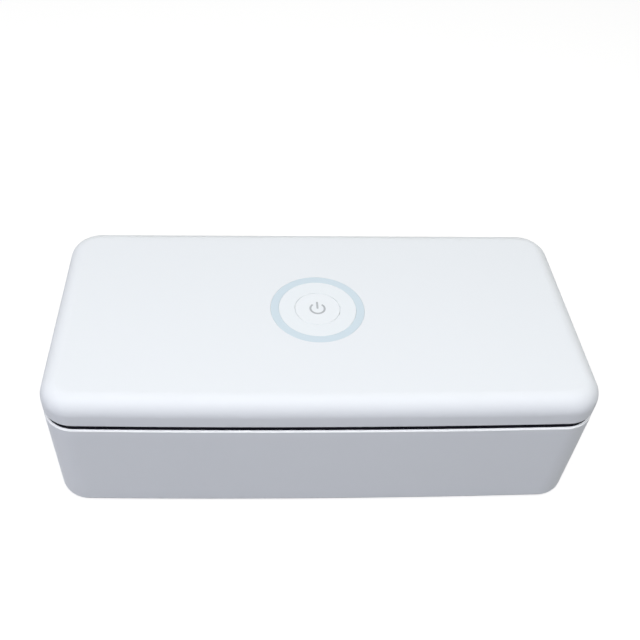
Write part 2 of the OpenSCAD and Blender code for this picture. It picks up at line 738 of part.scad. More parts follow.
module phone_rack() {
    color("silver") {
        for (k = [0:3]) {
            a = k % 2 == 0 ? rack_w : rack_d;
            b = k % 2 == 0 ? rack_d : rack_w;
            rotate(90 * k) translate([a / 2 - frame_r, b / 2 - frame_r, rack_z]) {
                rotate_extrude(angle = 90) translate([frame_r, 0]) circle(d = frame_wire_d);
                translate([frame_r, 0, 0]) rotate([90, 0, 0]) cylinder(d = frame_wire_d, h = b - 2 * frame_r);
            }
        }
        for (i = [0:cross_wires - 1]) translate([-(rack_w / 2 - frame_r) + i * rack_pitch, rack_d / 2 + 0.8, cross_z])
            rotate([90, 0, 0]) cylinder(d = cross_wire_d, h = rack_d + 1.6);
        for (p = leg_places) translate([p.x, p.y, floor_top + 1]) cylinder(d = frame_wire_d - 0.4, h = rack_up - 1);
    }
}

module rack_feet() {
    color("dimgray") for (p = leg_places) translate([p.x, p.y, floor_top]) difference() {
        cylinder(d = frame_wire_d + 2, h = 3);
        translate([0, 0, 1]) cylinder(d = frame_wire_d - 0.4, h = 3);
    }
}

// ---------- lid ----------

module lid_section() {
    inner_r = corner_r - wall;
    inner_edge = max(lid_edge_r - wall, 0.5);
    difference() {
        union() {
            translate([0, lid_z]) square([corner_r - lid_edge_r, lid_h]);
            translate([0, lid_z]) square([corner_r - lid_lower_r, lid_h - lid_edge_r]);
            translate([0, lid_z + lid_lower_r]) square([corner_r, lid_h - lid_edge_r - lid_lower_r]);
            translate([corner_r - lid_lower_r, lid_z + lid_lower_r]) circle(lid_lower_r);
            translate([corner_r - lid_edge_r, body_h - lid_edge_r]) quarter(lid_edge_r);
        }
        translate([-1, lid_z - 1]) square([1 + inner_r - inner_edge, 1 + lid_ceiling - lid_z]);
        translate([-1, lid_z - 1]) square([1 + inner_r, 1 + lid_ceiling - inner_edge - lid_z]);
        translate([inner_r - inner_edge, lid_ceiling - inner_edge]) quarter(inner_edge);
    }
}

board_boss_r = button_board_r - 3.4;
board_boss_angles = [30, 150, 270];

module lid_shell() {
    color("ghostwhite") difference() {
        union() {
            sweep_round() lid_section();
            core(lid_ceiling, body_h);
            for (p = lid_boss_places) translate([p.x, p.y, panel_top]) cylinder(r = 3, h = lid_ceiling - panel_top + eps);
            for (a = board_boss_angles) rotate(a) translate([board_boss_r, 0, button_board_top])
                cylinder(r = 2.4, h = lid_ceiling - button_board_top + eps);
            for (k = lid_knuckles) along_hinge(k[0], k[1]) {
                lid_knuckle_section();
                stop_section();
            }
            along_hinge(lid_conduit[0], lid_conduit[1]) circle(barrel_r);
            along_hinge(lid_conduit[1] - conduit_w, lid_conduit[1]) lid_conduit_section();
        }
        // seat of the light ring
        translate([0, 0, lid_ceiling - 1]) cylinder(r = ring_outer_d / 2 + 0.05, h = wall + 2);
        translate([0, 0, lid_ceiling - 1]) cylinder(r = ring_flange_r + fit, h = 1 + wall - ring_face_t);
        for (p = lid_boss_places) translate([p.x, p.y, panel_top - 1]) cylinder(d = case_screw_d, h = lid_screw_l + 1);
        for (a = board_boss_angles) rotate(a) translate([board_boss_r, 0, button_board_top - 1])
            cylinder(d = board_screw_d, h = 1 + board_screw_l - button_board_t + 0.3);
        for (k = concat(base_knuckles, [base_conduit]))
            along_hinge(k[0] - knuckle_gap, k[1] + knuckle_gap) circle(scoop_r);
        for (k = lid_knuckles) along_hinge(k[0] - 1, k[1] + 1) circle(pin_d / 2 + 0.05);
        conduit_bores(1, conduit_lid_z);
    }
}

module panel_section() {
    band(panel_in, corner_r, panel_z, panel_top);
    band(panel_in, panel_in + seal_rib_t, seal_top + fit, panel_top);
}

lid_lamp_screw_places = [for (x = [-1, 1]) for (y = [-1, 1]) [x * (lid_board_w / 2 - 3), y * 4.6]];

module lid_panel() {
    color("silver") difference() {
        union() {
            sweep_round() panel_section();
            core(panel_z, panel_top);
            for (s = [-1, 1]) for (p = lid_lamp_screw_places)
                translate([s * lid_board_x + p.x, p.y, panel_top - eps]) cylinder(r = 2.2, h = lamp_spacer + eps);
            for (s = [-1, 1]) translate([s * magnet_x, magnet_y, 0]) magnet_frame(magnet_l);
            translate([sensor_x, magnet_y, 0]) magnet_frame(sensor_magnet_l);
        }
        for (x = lid_lamps) translate([x, 0, 0]) {
            translate([0, 0, panel_z - 1]) cylinder(d = window_d, h = lid_panel_t + 2);
            translate([0, 0, panel_top - lens_t]) cylinder(d = lens_d + 2 * fit, h = lens_t + 1);
        }
        for (p = lid_boss_places) translate([p.x, p.y, panel_z - 1]) {
            cylinder(d = case_screw_d + 4 * fit, h = lid_panel_t + 2);
            cylinder(d = case_head_d + 0.4, h = 1 + lid_panel_t - 0.9);
        }
        for (s = [-1, 1]) for (p = lid_lamp_screw_places)
            translate([s * lid_board_x + p.x, p.y, panel_top]) cylinder(d = board_screw_d, h = lamp_spacer + 1);
    }
}

module magnet_frame(l) {
    difference() {
        block(l + 1.8, magnet_w + 1.8, panel_top - eps, panel_top + 1.4);
        block(l + 2 * fit, magnet_w + 2 * fit, panel_top - 1, panel_top + 3);
    }
}

module lid_panel_screws() {
    color("silver") for (p = lid_boss_places) translate([p.x, p.y, panel_top - 0.9])
        screw(case_screw_d, case_head_d, lid_panel_t - 0.9, lid_screw_l);
}

led_angles = [for (i = [0:5]) 60 * i];

module light_ring() {
    color("lightblue") difference() {
        union() {
            ring(ring_inner_d / 2 + 0.05, ring_outer_d / 2, ring_seat_z - eps, body_h);
            ring(bezel_neck_r + fit, ring_flange_r, ring_flange_z, ring_seat_z);
            ring(ring_mid_r - guide_t / 2, ring_mid_r + guide_t / 2, button_board_top, ring_flange_z + eps);
        }
        for (a = led_angles) rotate(a) translate([ring_mid_r, 0, button_board_top - 1])
            cylinder(r = 1.9, h = 2.2);
    }
}

bezel_screw_angles = [90, 210, 330];
bezel_screw_r = (button_room_r + bezel_neck_r) / 2;

module button_bezel() {
    color("ghostwhite") difference() {
        union() {
            ring(bezel_bore_r, ring_inner_d / 2, ring_seat_z, body_h);
            ring(button_room_r, bezel_neck_r, button_board_top, ring_seat_z + eps);
        }
        for (a = bezel_screw_angles) rotate(a) translate([bezel_screw_r, 0, button_board_top - 1])
            cylinder(d = board_screw_d, h = 1 + board_screw_l - button_board_t + 0.2);
    }
}

module button_board() {
    color("darkgreen") difference() {
        translate([0, 0, button_board_z]) cylinder(r = button_board_r, h = button_board_t);
        for (a = board_boss_angles) rotate(a) translate([board_boss_r, 0, button_board_z - 1])
            cylinder(d = board_screw_d + 2 * fit, h = button_board_t + 2);
        for (a = bezel_screw_angles) rotate(a) translate([bezel_screw_r, 0, button_board_z - 1])
            cylinder(d = board_screw_d + 2 * fit, h = button_board_t + 2);
    }
}

module button_board_screws() {
    color("silver") {
        for (a = board_boss_angles) rotate(a) translate([board_boss_r, 0, button_board_z])
            screw(board_screw_d, board_head_d, board_head_t, board_screw_l);
        for (a = bezel_screw_angles) rotate(a) translate([bezel_screw_r, 0, button_board_z])
            screw(board_screw_d, board_head_d, board_head_t, board_screw_l);
    }
}

module tact_switch() {
    color("dimgray") difference() {
        translate([-switch_side / 2, -switch_side / 2, button_board_top]) cube([switch_side, switch_side, switch_h]);
        translate([0, 0, button_board_top + switch_h - plunger_h]) cylinder(r = plunger_r + 0.05, h = plunger_h + 1);
    }
}

module ring_leds() {
    color("lightyellow") for (a = led_angles) rotate(a)
        translate([ring_mid_r - 0.8, -0.6, button_board_top]) cube([1.6, 1.2, 0.7]);
}

lid_header_place = [conduit_x, button_board_r - 5];

module lid_header() {
    color("ivory") translate([lid_header_place.x, lid_header_place.y, 0]) block(5, 4, button_board_z - 2.2, button_board_z);
}

module lid_lamp_board(side) {
    color("darkslategray") translate([side * lid_board_x, 0, 0]) lamp_board(lid_board_w, lid_lamp_screw_places, lid_led_z);
}

module lid_lamp_chips() {
    color("khaki") for (x = lid_lamps) translate([x, 0, lid_led_z]) rotate([180, 0, 0]) lamp_chip();
}

module lid_lamp_lenses() {
    color("lightcyan") for (x = lid_lamps) translate([x, 0, panel_top - lens_t]) cylinder(d = lens_d, h = lens_t);
}

module lid_lamp_screws() {
    color("silver") for (s = [-1, 1]) for (p = lid_lamp_screw_places)
        translate([s * lid_board_x + p.x, p.y, lid_led_z + board_t]) rotate([180, 0, 0])
            screw(board_screw_d, board_head_d, board_head_t, board_t + lamp_spacer - 0.1);
}

module lid_magnets() {
    color("lightgray") for (s = [-1, 1])
        translate([s * magnet_x, magnet_y, 0]) block(magnet_l, magnet_w, panel_top, panel_top + magnet_t);
}

module sensor_magnet() {
    color("lightgray") translate([sensor_x, magnet_y, 0])
        block(sensor_magnet_l, magnet_w, panel_top, panel_top + magnet_t);
}

module lid_cable() {
    color("dimgray") lead([
        [0, hinge_y, hinge_z], [conduit_x, hinge_y, hinge_z], [conduit_x, hinge_y, conduit_lid_z],
        [conduit_x, lid_header_place.y + 6, conduit_lid_z], [lid_header_place.x, lid_header_place.y + 2, conduit_lid_z]
    ], cable_d);
}

module lid_lamp_leads() {
    color("firebrick") for (s = [-1, 1]) lead([
        [s * (button_board_r - 2), 0, button_board_z], [s * (button_board_r - 2), 0, button_board_z - 1.4],
        [s * (lid_board_x - lid_board_w / 2 - 2.4), 0, button_board_z - 1.4],
        [s * (lid_board_x - lid_board_w / 2 - 2.4), 0, lid_led_z + board_t / 2],
        [s * (lid_board_x - lid_board_w / 2), 0, lid_led_z + board_t / 2]
    ], 1, 0.6);
}

// ---------- button ----------

module icon2d() {
    open_y = icon_r + 1;
    open_x = open_y * tan(icon_open);
    difference() {
        circle(icon_r);
        circle(icon_r - icon_line);
        polygon([[0, 0], [open_x, open_y], [-open_x, open_y]]);
    }
    translate([-icon_line / 2, -icon_r * 0.05]) square([icon_line, icon_r * 1.24]);
}

stem_bottom = button_board_top + switch_h + plunger_h;

module power_button() {
    color("ghostwhite") difference() {
        union() {
            translate([0, 0, body_h - button_cap_t]) cylinder(d = button_d, h = button_cap_t);
            ring(button_d / 2 - 1.2, button_flange_r, ring_seat_z - button_flange_t, ring_seat_z);
            translate([0, 0, stem_bottom]) cylinder(r = plunger_r, h = body_h - button_cap_t - stem_bottom + eps);
        }
        translate([0, 0, body_h - icon_depth]) linear_extrude(1) icon2d();
    }
}

module power_symbol() {
    color("darkgray") translate([0, 0, body_h - icon_depth]) linear_extrude(icon_depth) icon2d();
}

module switch_plunger() {
    color("black") translate([0, 0, button_board_top + switch_h - plunger_h + button_travel + 0.05])
        cylinder(r = plunger_r - 0.1, h = stem_bottom - (button_board_top + switch_h - plunger_h + button_travel + 0.05));
}

// ---------- what is drawn ----------

module in_frame() {
    translate([0, middle_y, 0]) children();
}

in_frame() base_shell();
in_frame() bottom_cover();
in_frame() case_screws();
in_frame() rubber_feet();
in_frame() chamber_tub();
in_frame() rim_seal();
in_frame() base_lamp_board();
in_frame() base_lamp_chips();
in_frame() base_lamp_lenses();
in_frame() base_lamp_screws();
in_frame() driver_board();
in_frame() driver_screws();
in_frame() driver_inductor();
in_frame() driver_capacitors();
in_frame() driver_chip();
in_frame() cable_headers();
in_frame() usb_socket_shell();
in_frame() usb_socket_tongue();
in_frame() base_magnets();
in_frame() lid_sensor_board();
in_frame() lid_sensor_chip();
in_frame() hinge_pins();
in_frame() base_cable();
in_frame() base_lamp_leads();
in_frame() sensor_leads();
in_frame() phone_rack();
in_frame() rack_feet();
in_frame() lid_shell();
in_frame() lid_panel();
in_frame() lid_panel_screws();
in_frame() light_ring();
in_frame() button_bezel();
in_frame() button_board();
in_frame() button_board_screws();
in_frame() tact_switch();
in_frame() ring_leds();
in_frame() lid_header();
in_frame() lid_lamp_board(-1);  // lid_lamp_board_left
in_frame() lid_lamp_board(1);  // lid_lamp_board_right
in_frame() lid_lamp_chips();
in_frame() lid_lamp_lenses();
in_frame() lid_lamp_screws();
in_frame() lid_magnets();
in_frame() sensor_magnet();
in_frame() lid_cable();
in_frame() lid_lamp_leads();
in_frame() power_button();
in_frame() power_symbol();
in_frame() switch_plunger();
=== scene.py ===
"""Looks of the sanitizer box for phones: satin white shells, a black seal, a pale light ring and a power button.

Lengths in the helpers are millimetres in the box's own frame, whose origin is the middle of the shells' outline.
Meshes are made in metres in the row frame.
"""

import json
import math

import bmesh
import bpy
from mathutils import Matrix, Vector

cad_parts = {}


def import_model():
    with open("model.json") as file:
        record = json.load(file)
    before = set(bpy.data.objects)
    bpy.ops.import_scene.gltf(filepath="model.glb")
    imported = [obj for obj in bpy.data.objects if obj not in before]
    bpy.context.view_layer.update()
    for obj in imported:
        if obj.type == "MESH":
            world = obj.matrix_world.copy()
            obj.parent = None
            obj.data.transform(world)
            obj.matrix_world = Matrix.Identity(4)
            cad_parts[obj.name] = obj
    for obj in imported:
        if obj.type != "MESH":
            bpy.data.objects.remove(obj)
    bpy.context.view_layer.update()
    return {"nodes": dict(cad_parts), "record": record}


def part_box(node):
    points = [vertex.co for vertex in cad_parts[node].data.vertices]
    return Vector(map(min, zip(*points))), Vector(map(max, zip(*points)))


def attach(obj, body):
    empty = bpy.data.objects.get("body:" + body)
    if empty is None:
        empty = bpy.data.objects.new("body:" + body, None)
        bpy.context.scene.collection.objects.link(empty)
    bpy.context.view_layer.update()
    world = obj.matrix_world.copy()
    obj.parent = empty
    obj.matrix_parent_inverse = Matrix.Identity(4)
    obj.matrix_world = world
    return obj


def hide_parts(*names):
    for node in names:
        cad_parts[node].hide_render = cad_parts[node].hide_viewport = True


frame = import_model()

# ---------------------------------------------------------------- sizes, as in the solids
BODY_W, BODY_D = 230.0, 112.0
CORNER = 14.0
AX, AY = BODY_W / 2 - CORNER, BODY_D / 2 - CORNER
RIM_Z, LID_Z = 52.1, 54.9
HINGE_Y, HINGE_Z = BODY_D / 2 + 3.0, 53.5
BARREL = 3.2
MIDDLE_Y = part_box("base_shell")[0].y * 1000 + BODY_D / 2
BOW = 1.1  # how far the ends of the front lie behind its middle
MAGNET_Y = -48.65


def bowed(x, y):
    """The front is bowed a little: its ends lie further back than its middle."""
    t = min(1.0, max(0.0, (-y - 24.0) / 20.0))
    return y + BOW * (x / 101.0) ** 2 * t * t * (3 - 2 * t)


def world(x, y, z, bow=True):
    if bow:
        y = bowed(x, y)
    return Vector((x, y + MIDDLE_Y, z)) * 0.001


# ---------------------------------------------------------------- mesh helpers
def new_object(name, mesh):
    obj = bpy.data.objects.new(name, mesh)
    bpy.context.scene.collection.objects.link(obj)
    return obj


def from_bmesh(name, bm, smooth=True):
    bmesh.ops.recalc_face_normals(bm, faces=bm.faces)
    mesh = bpy.data.meshes.new(name)
    bm.to_mesh(mesh)
    bm.free()
    for p in mesh.polygons:
        p.use_smooth = smooth
    return new_object(name, mesh)


def apply_modifiers(obj):
    """Leaves the object with the mesh that its modifiers make."""
    dg = bpy.context.evaluated_depsgraph_get()
    mesh = bpy.data.meshes.new_from_object(obj.evaluated_get(dg))
    obj.modifiers.clear()
    old = obj.data
    obj.data = mesh
    bpy.data.meshes.remove(old)
    return obj


def shade(obj, angle=32):
    """Smooth shading with sharp breaks above the angle, and flats that stay flat beside their fillets."""
    bm = bmesh.new()
    bm.from_mesh(obj.data)
    for f in bm.faces:
        f.smooth = True
    for e in bm.edges:
        e.smooth = len(e.link_faces) == 2 and e.calc_face_angle(math.pi) < math.radians(angle)
    bm.to_mesh(obj.data)
    bm.free()
    m = obj.modifiers.new("normals", "WEIGHTED_NORMAL")
    m.keep_sharp = True
    m.weight = 100
    return obj


def arc_points(c, r, a0, a1, n):
    return [(c[0] + r * math.cos(math.radians(a0 + (a1 - a0) * k / n)),
             c[1] + r * math.sin(math.radians(a0 + (a1 - a0) * k / n))) for k in range(n + 1)]


def rounded(points, closed):
    """A profile with its corners rounded: points are (x, z, radius)."""
    out = []
    n = len(points)
    for i, (x, z, r) in enumerate(points):
        if r <= 0 or (not closed and i in (0, n - 1)):
            out.append((x, z))
            continue
        p = Vector((x, z))
        a = Vector(points[i - 1][:2]) - p
        b = Vector(points[(i + 1) % n][:2]) - p
        a.normalize()
        b.normalize()
        half = math.acos(max(-1.0, min(1.0, a.dot(b)))) / 2
        reach = r / math.tan(half)
        centre = p + (a + b).normalized() * (r / math.sin(half))
        p0, p1 = p + a * reach - centre, p + b * reach - centre
        turn = math.pi - 2 * half
        steps = max(3, min(14, round(turn / math.radians(7))))
        sign = 1 if p0.x * p1.y - p0.y * p1.x > 0 else -1
        for k in range(steps + 1):
            t = sign * turn * k / steps
            out.append((centre.x + p0.x * math.cos(t) - p0.y * math.sin(t),
                        centre.y + p0.x * math.sin(t) + p0.y * math.cos(t)))
    return out


def stations(n_corner=18, n_long=60, n_short=24):
    """Corner axis and outward direction at each place round the outline."""
    out = []
    corners = [(AX, -AY, -90), (AX, AY, 0), (-AX, AY, 90), (-AX, -AY, 180)]
    for i, (cx, cy, a0) in enumerate(corners):
        for k in range(n_corner + 1):
            a = math.radians(a0 + 90 * k / n_corner)
            out.append((cx, cy, math.cos(a), math.sin(a)))
        nx, ny, _ = corners[(i + 1) % 4]
        a = math.radians(a0 + 90)
        n = n_short if i % 2 == 0 else n_long
        for k in range(1, n):
            out.append((cx + (nx - cx) * k / n, cy + (ny - cy) * k / n, math.cos(a), math.sin(a)))
    return out


STATIONS = stations()


def round_loop(x, z):
    """A loop round the box, x out from the corner axes."""
    return [(cx + dx * x, cy + dy * x, z) for cx, cy, dx, dy in STATIONS]


def disc_loop(r, z):
    out = []
    for cx, cy, dx, dy in STATIONS:
        a = math.atan2(cy + dy * 10, cx + dx * 10)
        out.append((r * math.cos(a), r * math.sin(a), z))
    return out


def between(a, b, n):
    """Loops from a to b, without both."""
    return [[tuple(p + (q - p) * k / n for p, q in zip(u, v)) for u, v in zip(a, b)] for k in range(1, n)]


def loops_object(name, loops, closed=False, cap=False):
    bm = bmesh.new()
    rows = [[bm.verts.new(world(*p)) for p in loop] for loop in loops]
    n = len(rows[0])
    pairs = list(zip(rows, rows[1:])) + ([(rows[-1], rows[0])] if closed else [])
    for a, b in pairs:
        for i in range(n):
            j = (i + 1) % n
            bm.faces.new((a[i], a[j], b[j], b[i]))
    if cap:
        bm.faces.new(rows[0])
        bm.faces.new(list(reversed(rows[-1])))
    return from_bmesh(name, bm)


def lathe(name, profile, centre=(0, 0), steps=96, closed=True, bow=False):
    """A ring about the Z axis through centre. The profile's points are (radius, z)."""
    bm = bmesh.new()
    rows = []
    for r, z in profile:
        if r < 1e-6:
            rows.append([bm.verts.new(world(centre[0], centre[1], z, bow))])
        else:
            rows.append([bm.verts.new(world(centre[0] + r * math.cos(2 * math.pi * k / steps),
                                            centre[1] + r * math.sin(2 * math.pi * k / steps), z, bow))
                         for k in range(steps)])
    pairs = list(zip(rows, rows[1:])) + ([(rows[-1], rows[0])] if closed else [])
    for a, b in pairs:
        if len(a) == 1 and len(b) == 1:
            continue
        for i in range(steps):
            j = (i + 1) % steps
            if len(a) == 1:
                bm.faces.new((a[0], b[j], b[i]))
            elif len(b) == 1:
                bm.faces.new((a[i], a[j], b[0]))
            else:
                bm.faces.new((a[i], a[j], b[j], b[i]))
    return from_bmesh(name, bm)


def cylinder_cutter(x, y, z0, z1, r, steps=64):
    """A plain cylinder used only to cut a hole, and then removed."""
    bm = bmesh.new()
    c = world(x, y, 0)
    for z in (z0, z1):
        ring = [bm.verts.new((c.x + r * 0.001 * math.cos(2 * math.pi * k / steps),
                              c.y + r * 0.001 * math.sin(2 * math.pi * k / steps), z * 0.001))
                for k in range(steps)]
        bm.faces.new(ring)
    bm.verts.ensure_lookup_table()
    for i in range(steps):
        j = (i + 1) % steps
        bm.faces.new((bm.verts[i], bm.verts[j], bm.verts[steps + j], bm.verts[steps + i]))
    return from_bmesh("cutter", bm, False)


def slot_cutter(x, z, w, h, y0, y1, steps=24):
    """An oblong cutter along Y."""
    points = []
    for s in (1, -1):
        for k in range(steps + 1):
            a = math.radians(-90 * s + 180 * k / steps)
            points.append((x + s * (w - h) / 2 + h / 2 * math.cos(a), z + h / 2 * math.sin(a)))
    bm = bmesh.new()
    for y in (y0, y1):
        bm.faces.new([bm.verts.new(world(px, y, pz, False)) for px, pz in points])
    bm.verts.ensure_lookup_table()
    n = len(points)
    for i in range(n):
        j = (i + 1) % n
        bm.faces.new((bm.verts[i], bm.verts[j], bm.verts[n + j], bm.verts[n + i]))
    return from_bmesh("cutter", bm, False)


def cut(obj, cutters):
    """Cuts all the cutters out of the object in one pass, and removes them."""
    bm = bmesh.new()
    for c in cutters:
        bm.from_mesh(c.data)
        mesh = c.data
        bpy.data.objects.remove(c)
        bpy.data.meshes.remove(mesh)
    tool = from_bmesh("cutter", bm, False)
    m = obj.modifiers.new("cut", "BOOLEAN")
    m.operation = "DIFFERENCE"
    m.solver = "EXACT"
    m.use_self = False
    m.object = tool
    apply_modifiers(obj)
    mesh = tool.data
    bpy.data.objects.remove(tool)
    bpy.data.meshes.remove(mesh)
    return obj


def block(x, y, w, d, z0, z1, edge=0.2):
    """A block with softened edges, centred on x and y."""
    bm = bmesh.new()
    bmesh.ops.create_cube(bm, size=1.0)
    for v in bm.verts:
        v.co = world(x + v.co.x * w, y + v.co.y * d, z0 + (v.co.z + 0.5) * (z1 - z0))
    bmesh.ops.bevel(bm, geom=bm.edges[:], offset=edge * 0.001, segments=2, profile=0.5, affect="EDGES")
    return from_bmesh("block", bm)


def join(name, parts):
    bm = bmesh.new()
    for o in parts:
        bm.from_mesh(o.data)
    mesh = bpy.data.meshes.new(name)
    bm.to_mesh(mesh)
    bm.free()
    for o in parts:
        old = o.data
        bpy.data.objects.remove(o)
        bpy.data.meshes.remove(old)
    return new_object(name, mesh)


def piece(obj, body, slot, material, *nodes):
    """The piece rides on its body, has its material, and stands for the nodes."""
    obj.data.materials.clear()
    obj.data.materials.append(material)
    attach(obj, body)
    if nodes:
        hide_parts(*nodes)
    return obj


# ---------------------------------------------------------------- materials
class Look:
    """A node material, built step by step."""

    def __init__(self, name, color, rough, metallic=0.0):
        self.mat = bpy.data.materials.new(name)
        self.mat.use_nodes = True
        self.tree = self.mat.node_tree
        self.bsdf = self.tree.nodes["Principled BSDF"]
        self.set("Base Color", (*color, 1.0))
        self.set("Roughness", rough)
        self.set("Metallic", metallic)
        self.coord = self.node("ShaderNodeTexCoord")

    def node(self, kind, **values):
        n = self.tree.nodes.new(kind)
        for k, v in values.items():
            setattr(n, k, v)
        return n

    def set(self, socket, value):
        self.bsdf.inputs[socket].default_value = value

    def link(self, a, b):
        self.tree.links.new(a, b)

    def mapped(self, scale=(1, 1, 1)):
        m = self.node("ShaderNodeMapping")
        m.inputs["Scale"].default_value = scale
        self.link(self.coord.outputs["Object"], m.inputs["Vector"])
        return m.outputs["Vector"]

    def noise(self, scale, detail=3.0, rough=0.55, stretch=(1, 1, 1)):
        n = self.node("ShaderNodeTexNoise")
        n.inputs["Scale"].default_value = scale
        n.inputs["Detail"].default_value = detail
        n.inputs["Roughness"].default_value = rough
        self.link(self.mapped(stretch), n.inputs["Vector"])
        return n.outputs["Fac"]

    def spread(self, value, lo, hi, from_lo=0.3, from_hi=0.7):
        r = self.node("ShaderNodeMapRange")
        r.interpolation_type = "SMOOTHERSTEP"
        r.inputs["From Min"].default_value = from_lo
        r.inputs["From Max"].default_value = from_hi
        r.inputs["To Min"].default_value = lo
        r.inputs["To Max"].default_value = hi
        self.link(value, r.inputs["Value"])
        return r.outputs["Result"]

    def rough_from(self, value, lo, hi):
        self.link(self.spread(value, lo, hi), self.bsdf.inputs["Roughness"])

    def color_from(self, value, a, b, lo=0.3, hi=0.7):
        r = self.node("ShaderNodeValToRGB")
        r.color_ramp.elements[0].position = lo
        r.color_ramp.elements[1].position = hi
        r.color_ramp.elements[0].color = (*a, 1)
        r.color_ramp.elements[1].color = (*b, 1)
        self.link(value, r.inputs["Fac"])
        self.link(r.outputs["Color"], self.bsdf.inputs["Base Color"])

    def bump(self, value, strength, distance):
        b = self.node("ShaderNodeBump")
        b.inputs["Strength"].default_value = strength
        b.inputs["Distance"].default_value = distance
        self.link(value, b.inputs["Height"])
        self.link(b.outputs["Normal"], self.bsdf.inputs["Normal"])


def moulded(name, a, b, rough, grain=1800.0, grain_depth=0.000010, shine=0.5):
    """Moulded plastic: a very faint drift of tone, a slightly uneven sheen and a fine spark-eroded grain."""
    k = Look(name, b, rough)
    k.color_from(k.noise(6.0, 1.0, 0.4), a, b, 0.1, 0.9)
    k.rough_from(k.noise(14.0, 1.0, 0.5), rough - 0.02, rough + 0.02)
    k.bump(k.noise(grain, 2.0, 0.5), 0.12, grain_depth)
    k.set("Specular IOR Level", shine)
    return k.mat


def with_painted_lip_highlight(mat, color, low, high):
    """The same moulding with a painted highlight along its upper edge. The colour turns to the highlight colour from
    height low to height high, in metres.
    """
    tree = mat.node_tree
    bsdf = tree.nodes["Principled BSDF"]
    plain = bsdf.inputs["Base Color"].links[0].from_socket
    split = tree.nodes.new("ShaderNodeSeparateXYZ")
    tree.links.new(tree.nodes["Texture Coordinate"].outputs["Object"], split.inputs["Vector"])
    highlight_band = tree.nodes.new("ShaderNodeMapRange")
    highlight_band.interpolation_type = "SMOOTHERSTEP"
    highlight_band.inputs["From Min"].default_value = low
    highlight_band.inputs["From Max"].default_value = high
    tree.links.new(split.outputs["Z"], highlight_band.inputs["Value"])
    mix = tree.nodes.new("ShaderNodeMix")
    mix.data_type = "RGBA"
    tree.links.new(highlight_band.outputs["Result"], mix.inputs["Factor"])
    tree.links.new(plain, mix.inputs["A"])
    mix.inputs["B"].default_value = (*color, 1)
    tree.links.new(mix.outputs["Result"], bsdf.inputs["Base Color"])
    return mat


def metal(name, a, b, rough, brushed=(1, 1, 1), scale=900.0, depth=0.00001):
    k = Look(name, b, rough, 1.0)
    k.color_from(k.noise(14.0, 3.0, 0.5), a, b)
    streak = k.noise(scale, 4.0, 0.6, brushed)
    k.rough_from(streak, rough - 0.05, rough + 0.07)
    k.bump(streak, 0.15, depth)
    return k.mat


def rubber(name, a, b, rough=0.55, grain=1400.0, shine=0.4):
    k = Look(name, b, rough)
    k.color_from(k.noise(160.0, 4.0, 0.6), a, b)
    k.rough_from(k.noise(60.0, 3.0, 0.5), rough - 0.08, rough + 0.08)
    k.bump(k.noise(grain, 3.0, 0.6), 0.25, 0.00003)
    k.set("Specular IOR Level", shine)
    return k.mat


SHELL = moulded("satin_white_shell", (0.79, 0.82, 0.855), (0.802, 0.832, 0.867), 0.46, shine=0.14)
# The base's lip carries a painted highlight: its colour turns near-white just below the rim.
BASE_SHELL = with_painted_lip_highlight(
    moulded("satin_white_base", (0.79, 0.82, 0.855), (0.802, 0.832, 0.867), 0.46, shine=0.14),
    (0.95, 0.97, 0.98), 0.0514, 0.0518)
BEZEL = moulded("bezel_white", (0.79, 0.83, 0.865), (0.80, 0.84, 0.875), 0.36, shine=0.35)
BUTTON = moulded("button_white", (0.80, 0.835, 0.87), (0.81, 0.845, 0.88), 0.36, shine=0.35)
COVER = moulded("cover_white", (0.70, 0.73, 0.765), (0.73, 0.76, 0.795), 0.48, 1100.0, 0.00003)
PANEL = moulded("panel_white", (0.78, 0.80, 0.82), (0.80, 0.82, 0.84), 0.16, 1800.0, 0.000006)
RING = moulded("ring_diffuser", (0.595, 0.695, 0.765), (0.612, 0.712, 0.782), 0.36, shine=0.35)
SYMBOL = moulded("symbol_grey", (0.40, 0.42, 0.45), (0.43, 0.45, 0.48), 0.42)
SEAL = rubber("seal_black", (0.003, 0.003, 0.007), (0.005, 0.005, 0.010), 0.62, 1400.0, 0.05)
FOOT = rubber("foot_grey", (0.05, 0.052, 0.056), (0.07, 0.073, 0.078), 0.62)
CLEAR_FOOT = rubber("foot_pale", (0.58, 0.60, 0.62), (0.66, 0.68, 0.70), 0.38)
JACKET = rubber("jacket_black", (0.02, 0.02, 0.022), (0.03, 0.03, 0.033), 0.5)
LEAD = rubber("jacket_pale", (0.50, 0.51, 0.53), (0.56, 0.57, 0.59), 0.42)
TUB = metal("tub_aluminium", (0.60, 0.612, 0.625), (0.66, 0.672, 0.685), 0.30, (1, 14, 14), 260.0, 0.000006)
WIRE = metal("wire_bright", (0.70, 0.72, 0.75), (0.78, 0.80, 0.83), 0.12, (1, 1, 1), 500.0, 0.000003)
STEEL = metal("plated_steel", (0.50, 0.51, 0.53), (0.58, 0.59, 0.61), 0.30, (1, 1, 6), 1500.0)
NICKEL = metal("nickel", (0.60, 0.60, 0.60), (0.66, 0.66, 0.66), 0.2)
GOLD = metal("gold_pins", (0.80, 0.58, 0.25), (0.86, 0.64, 0.30), 0.22)
CAN = metal("drawn_can", (0.62, 0.63, 0.65), (0.70, 0.71, 0.73), 0.25, (1, 1, 8))
FERRITE = moulded("ferrite_dark", (0.035, 0.035, 0.04), (0.055, 0.055, 0.06), 0.6, 900.0, 0.00004)
CHIP = moulded("chip_black", (0.018, 0.018, 0.02), (0.028, 0.028, 0.03), 0.5, 2600.0, 0.00001)
NYLON = moulded("header_nylon", (0.70, 0.66, 0.55), (0.76, 0.72, 0.61), 0.45)


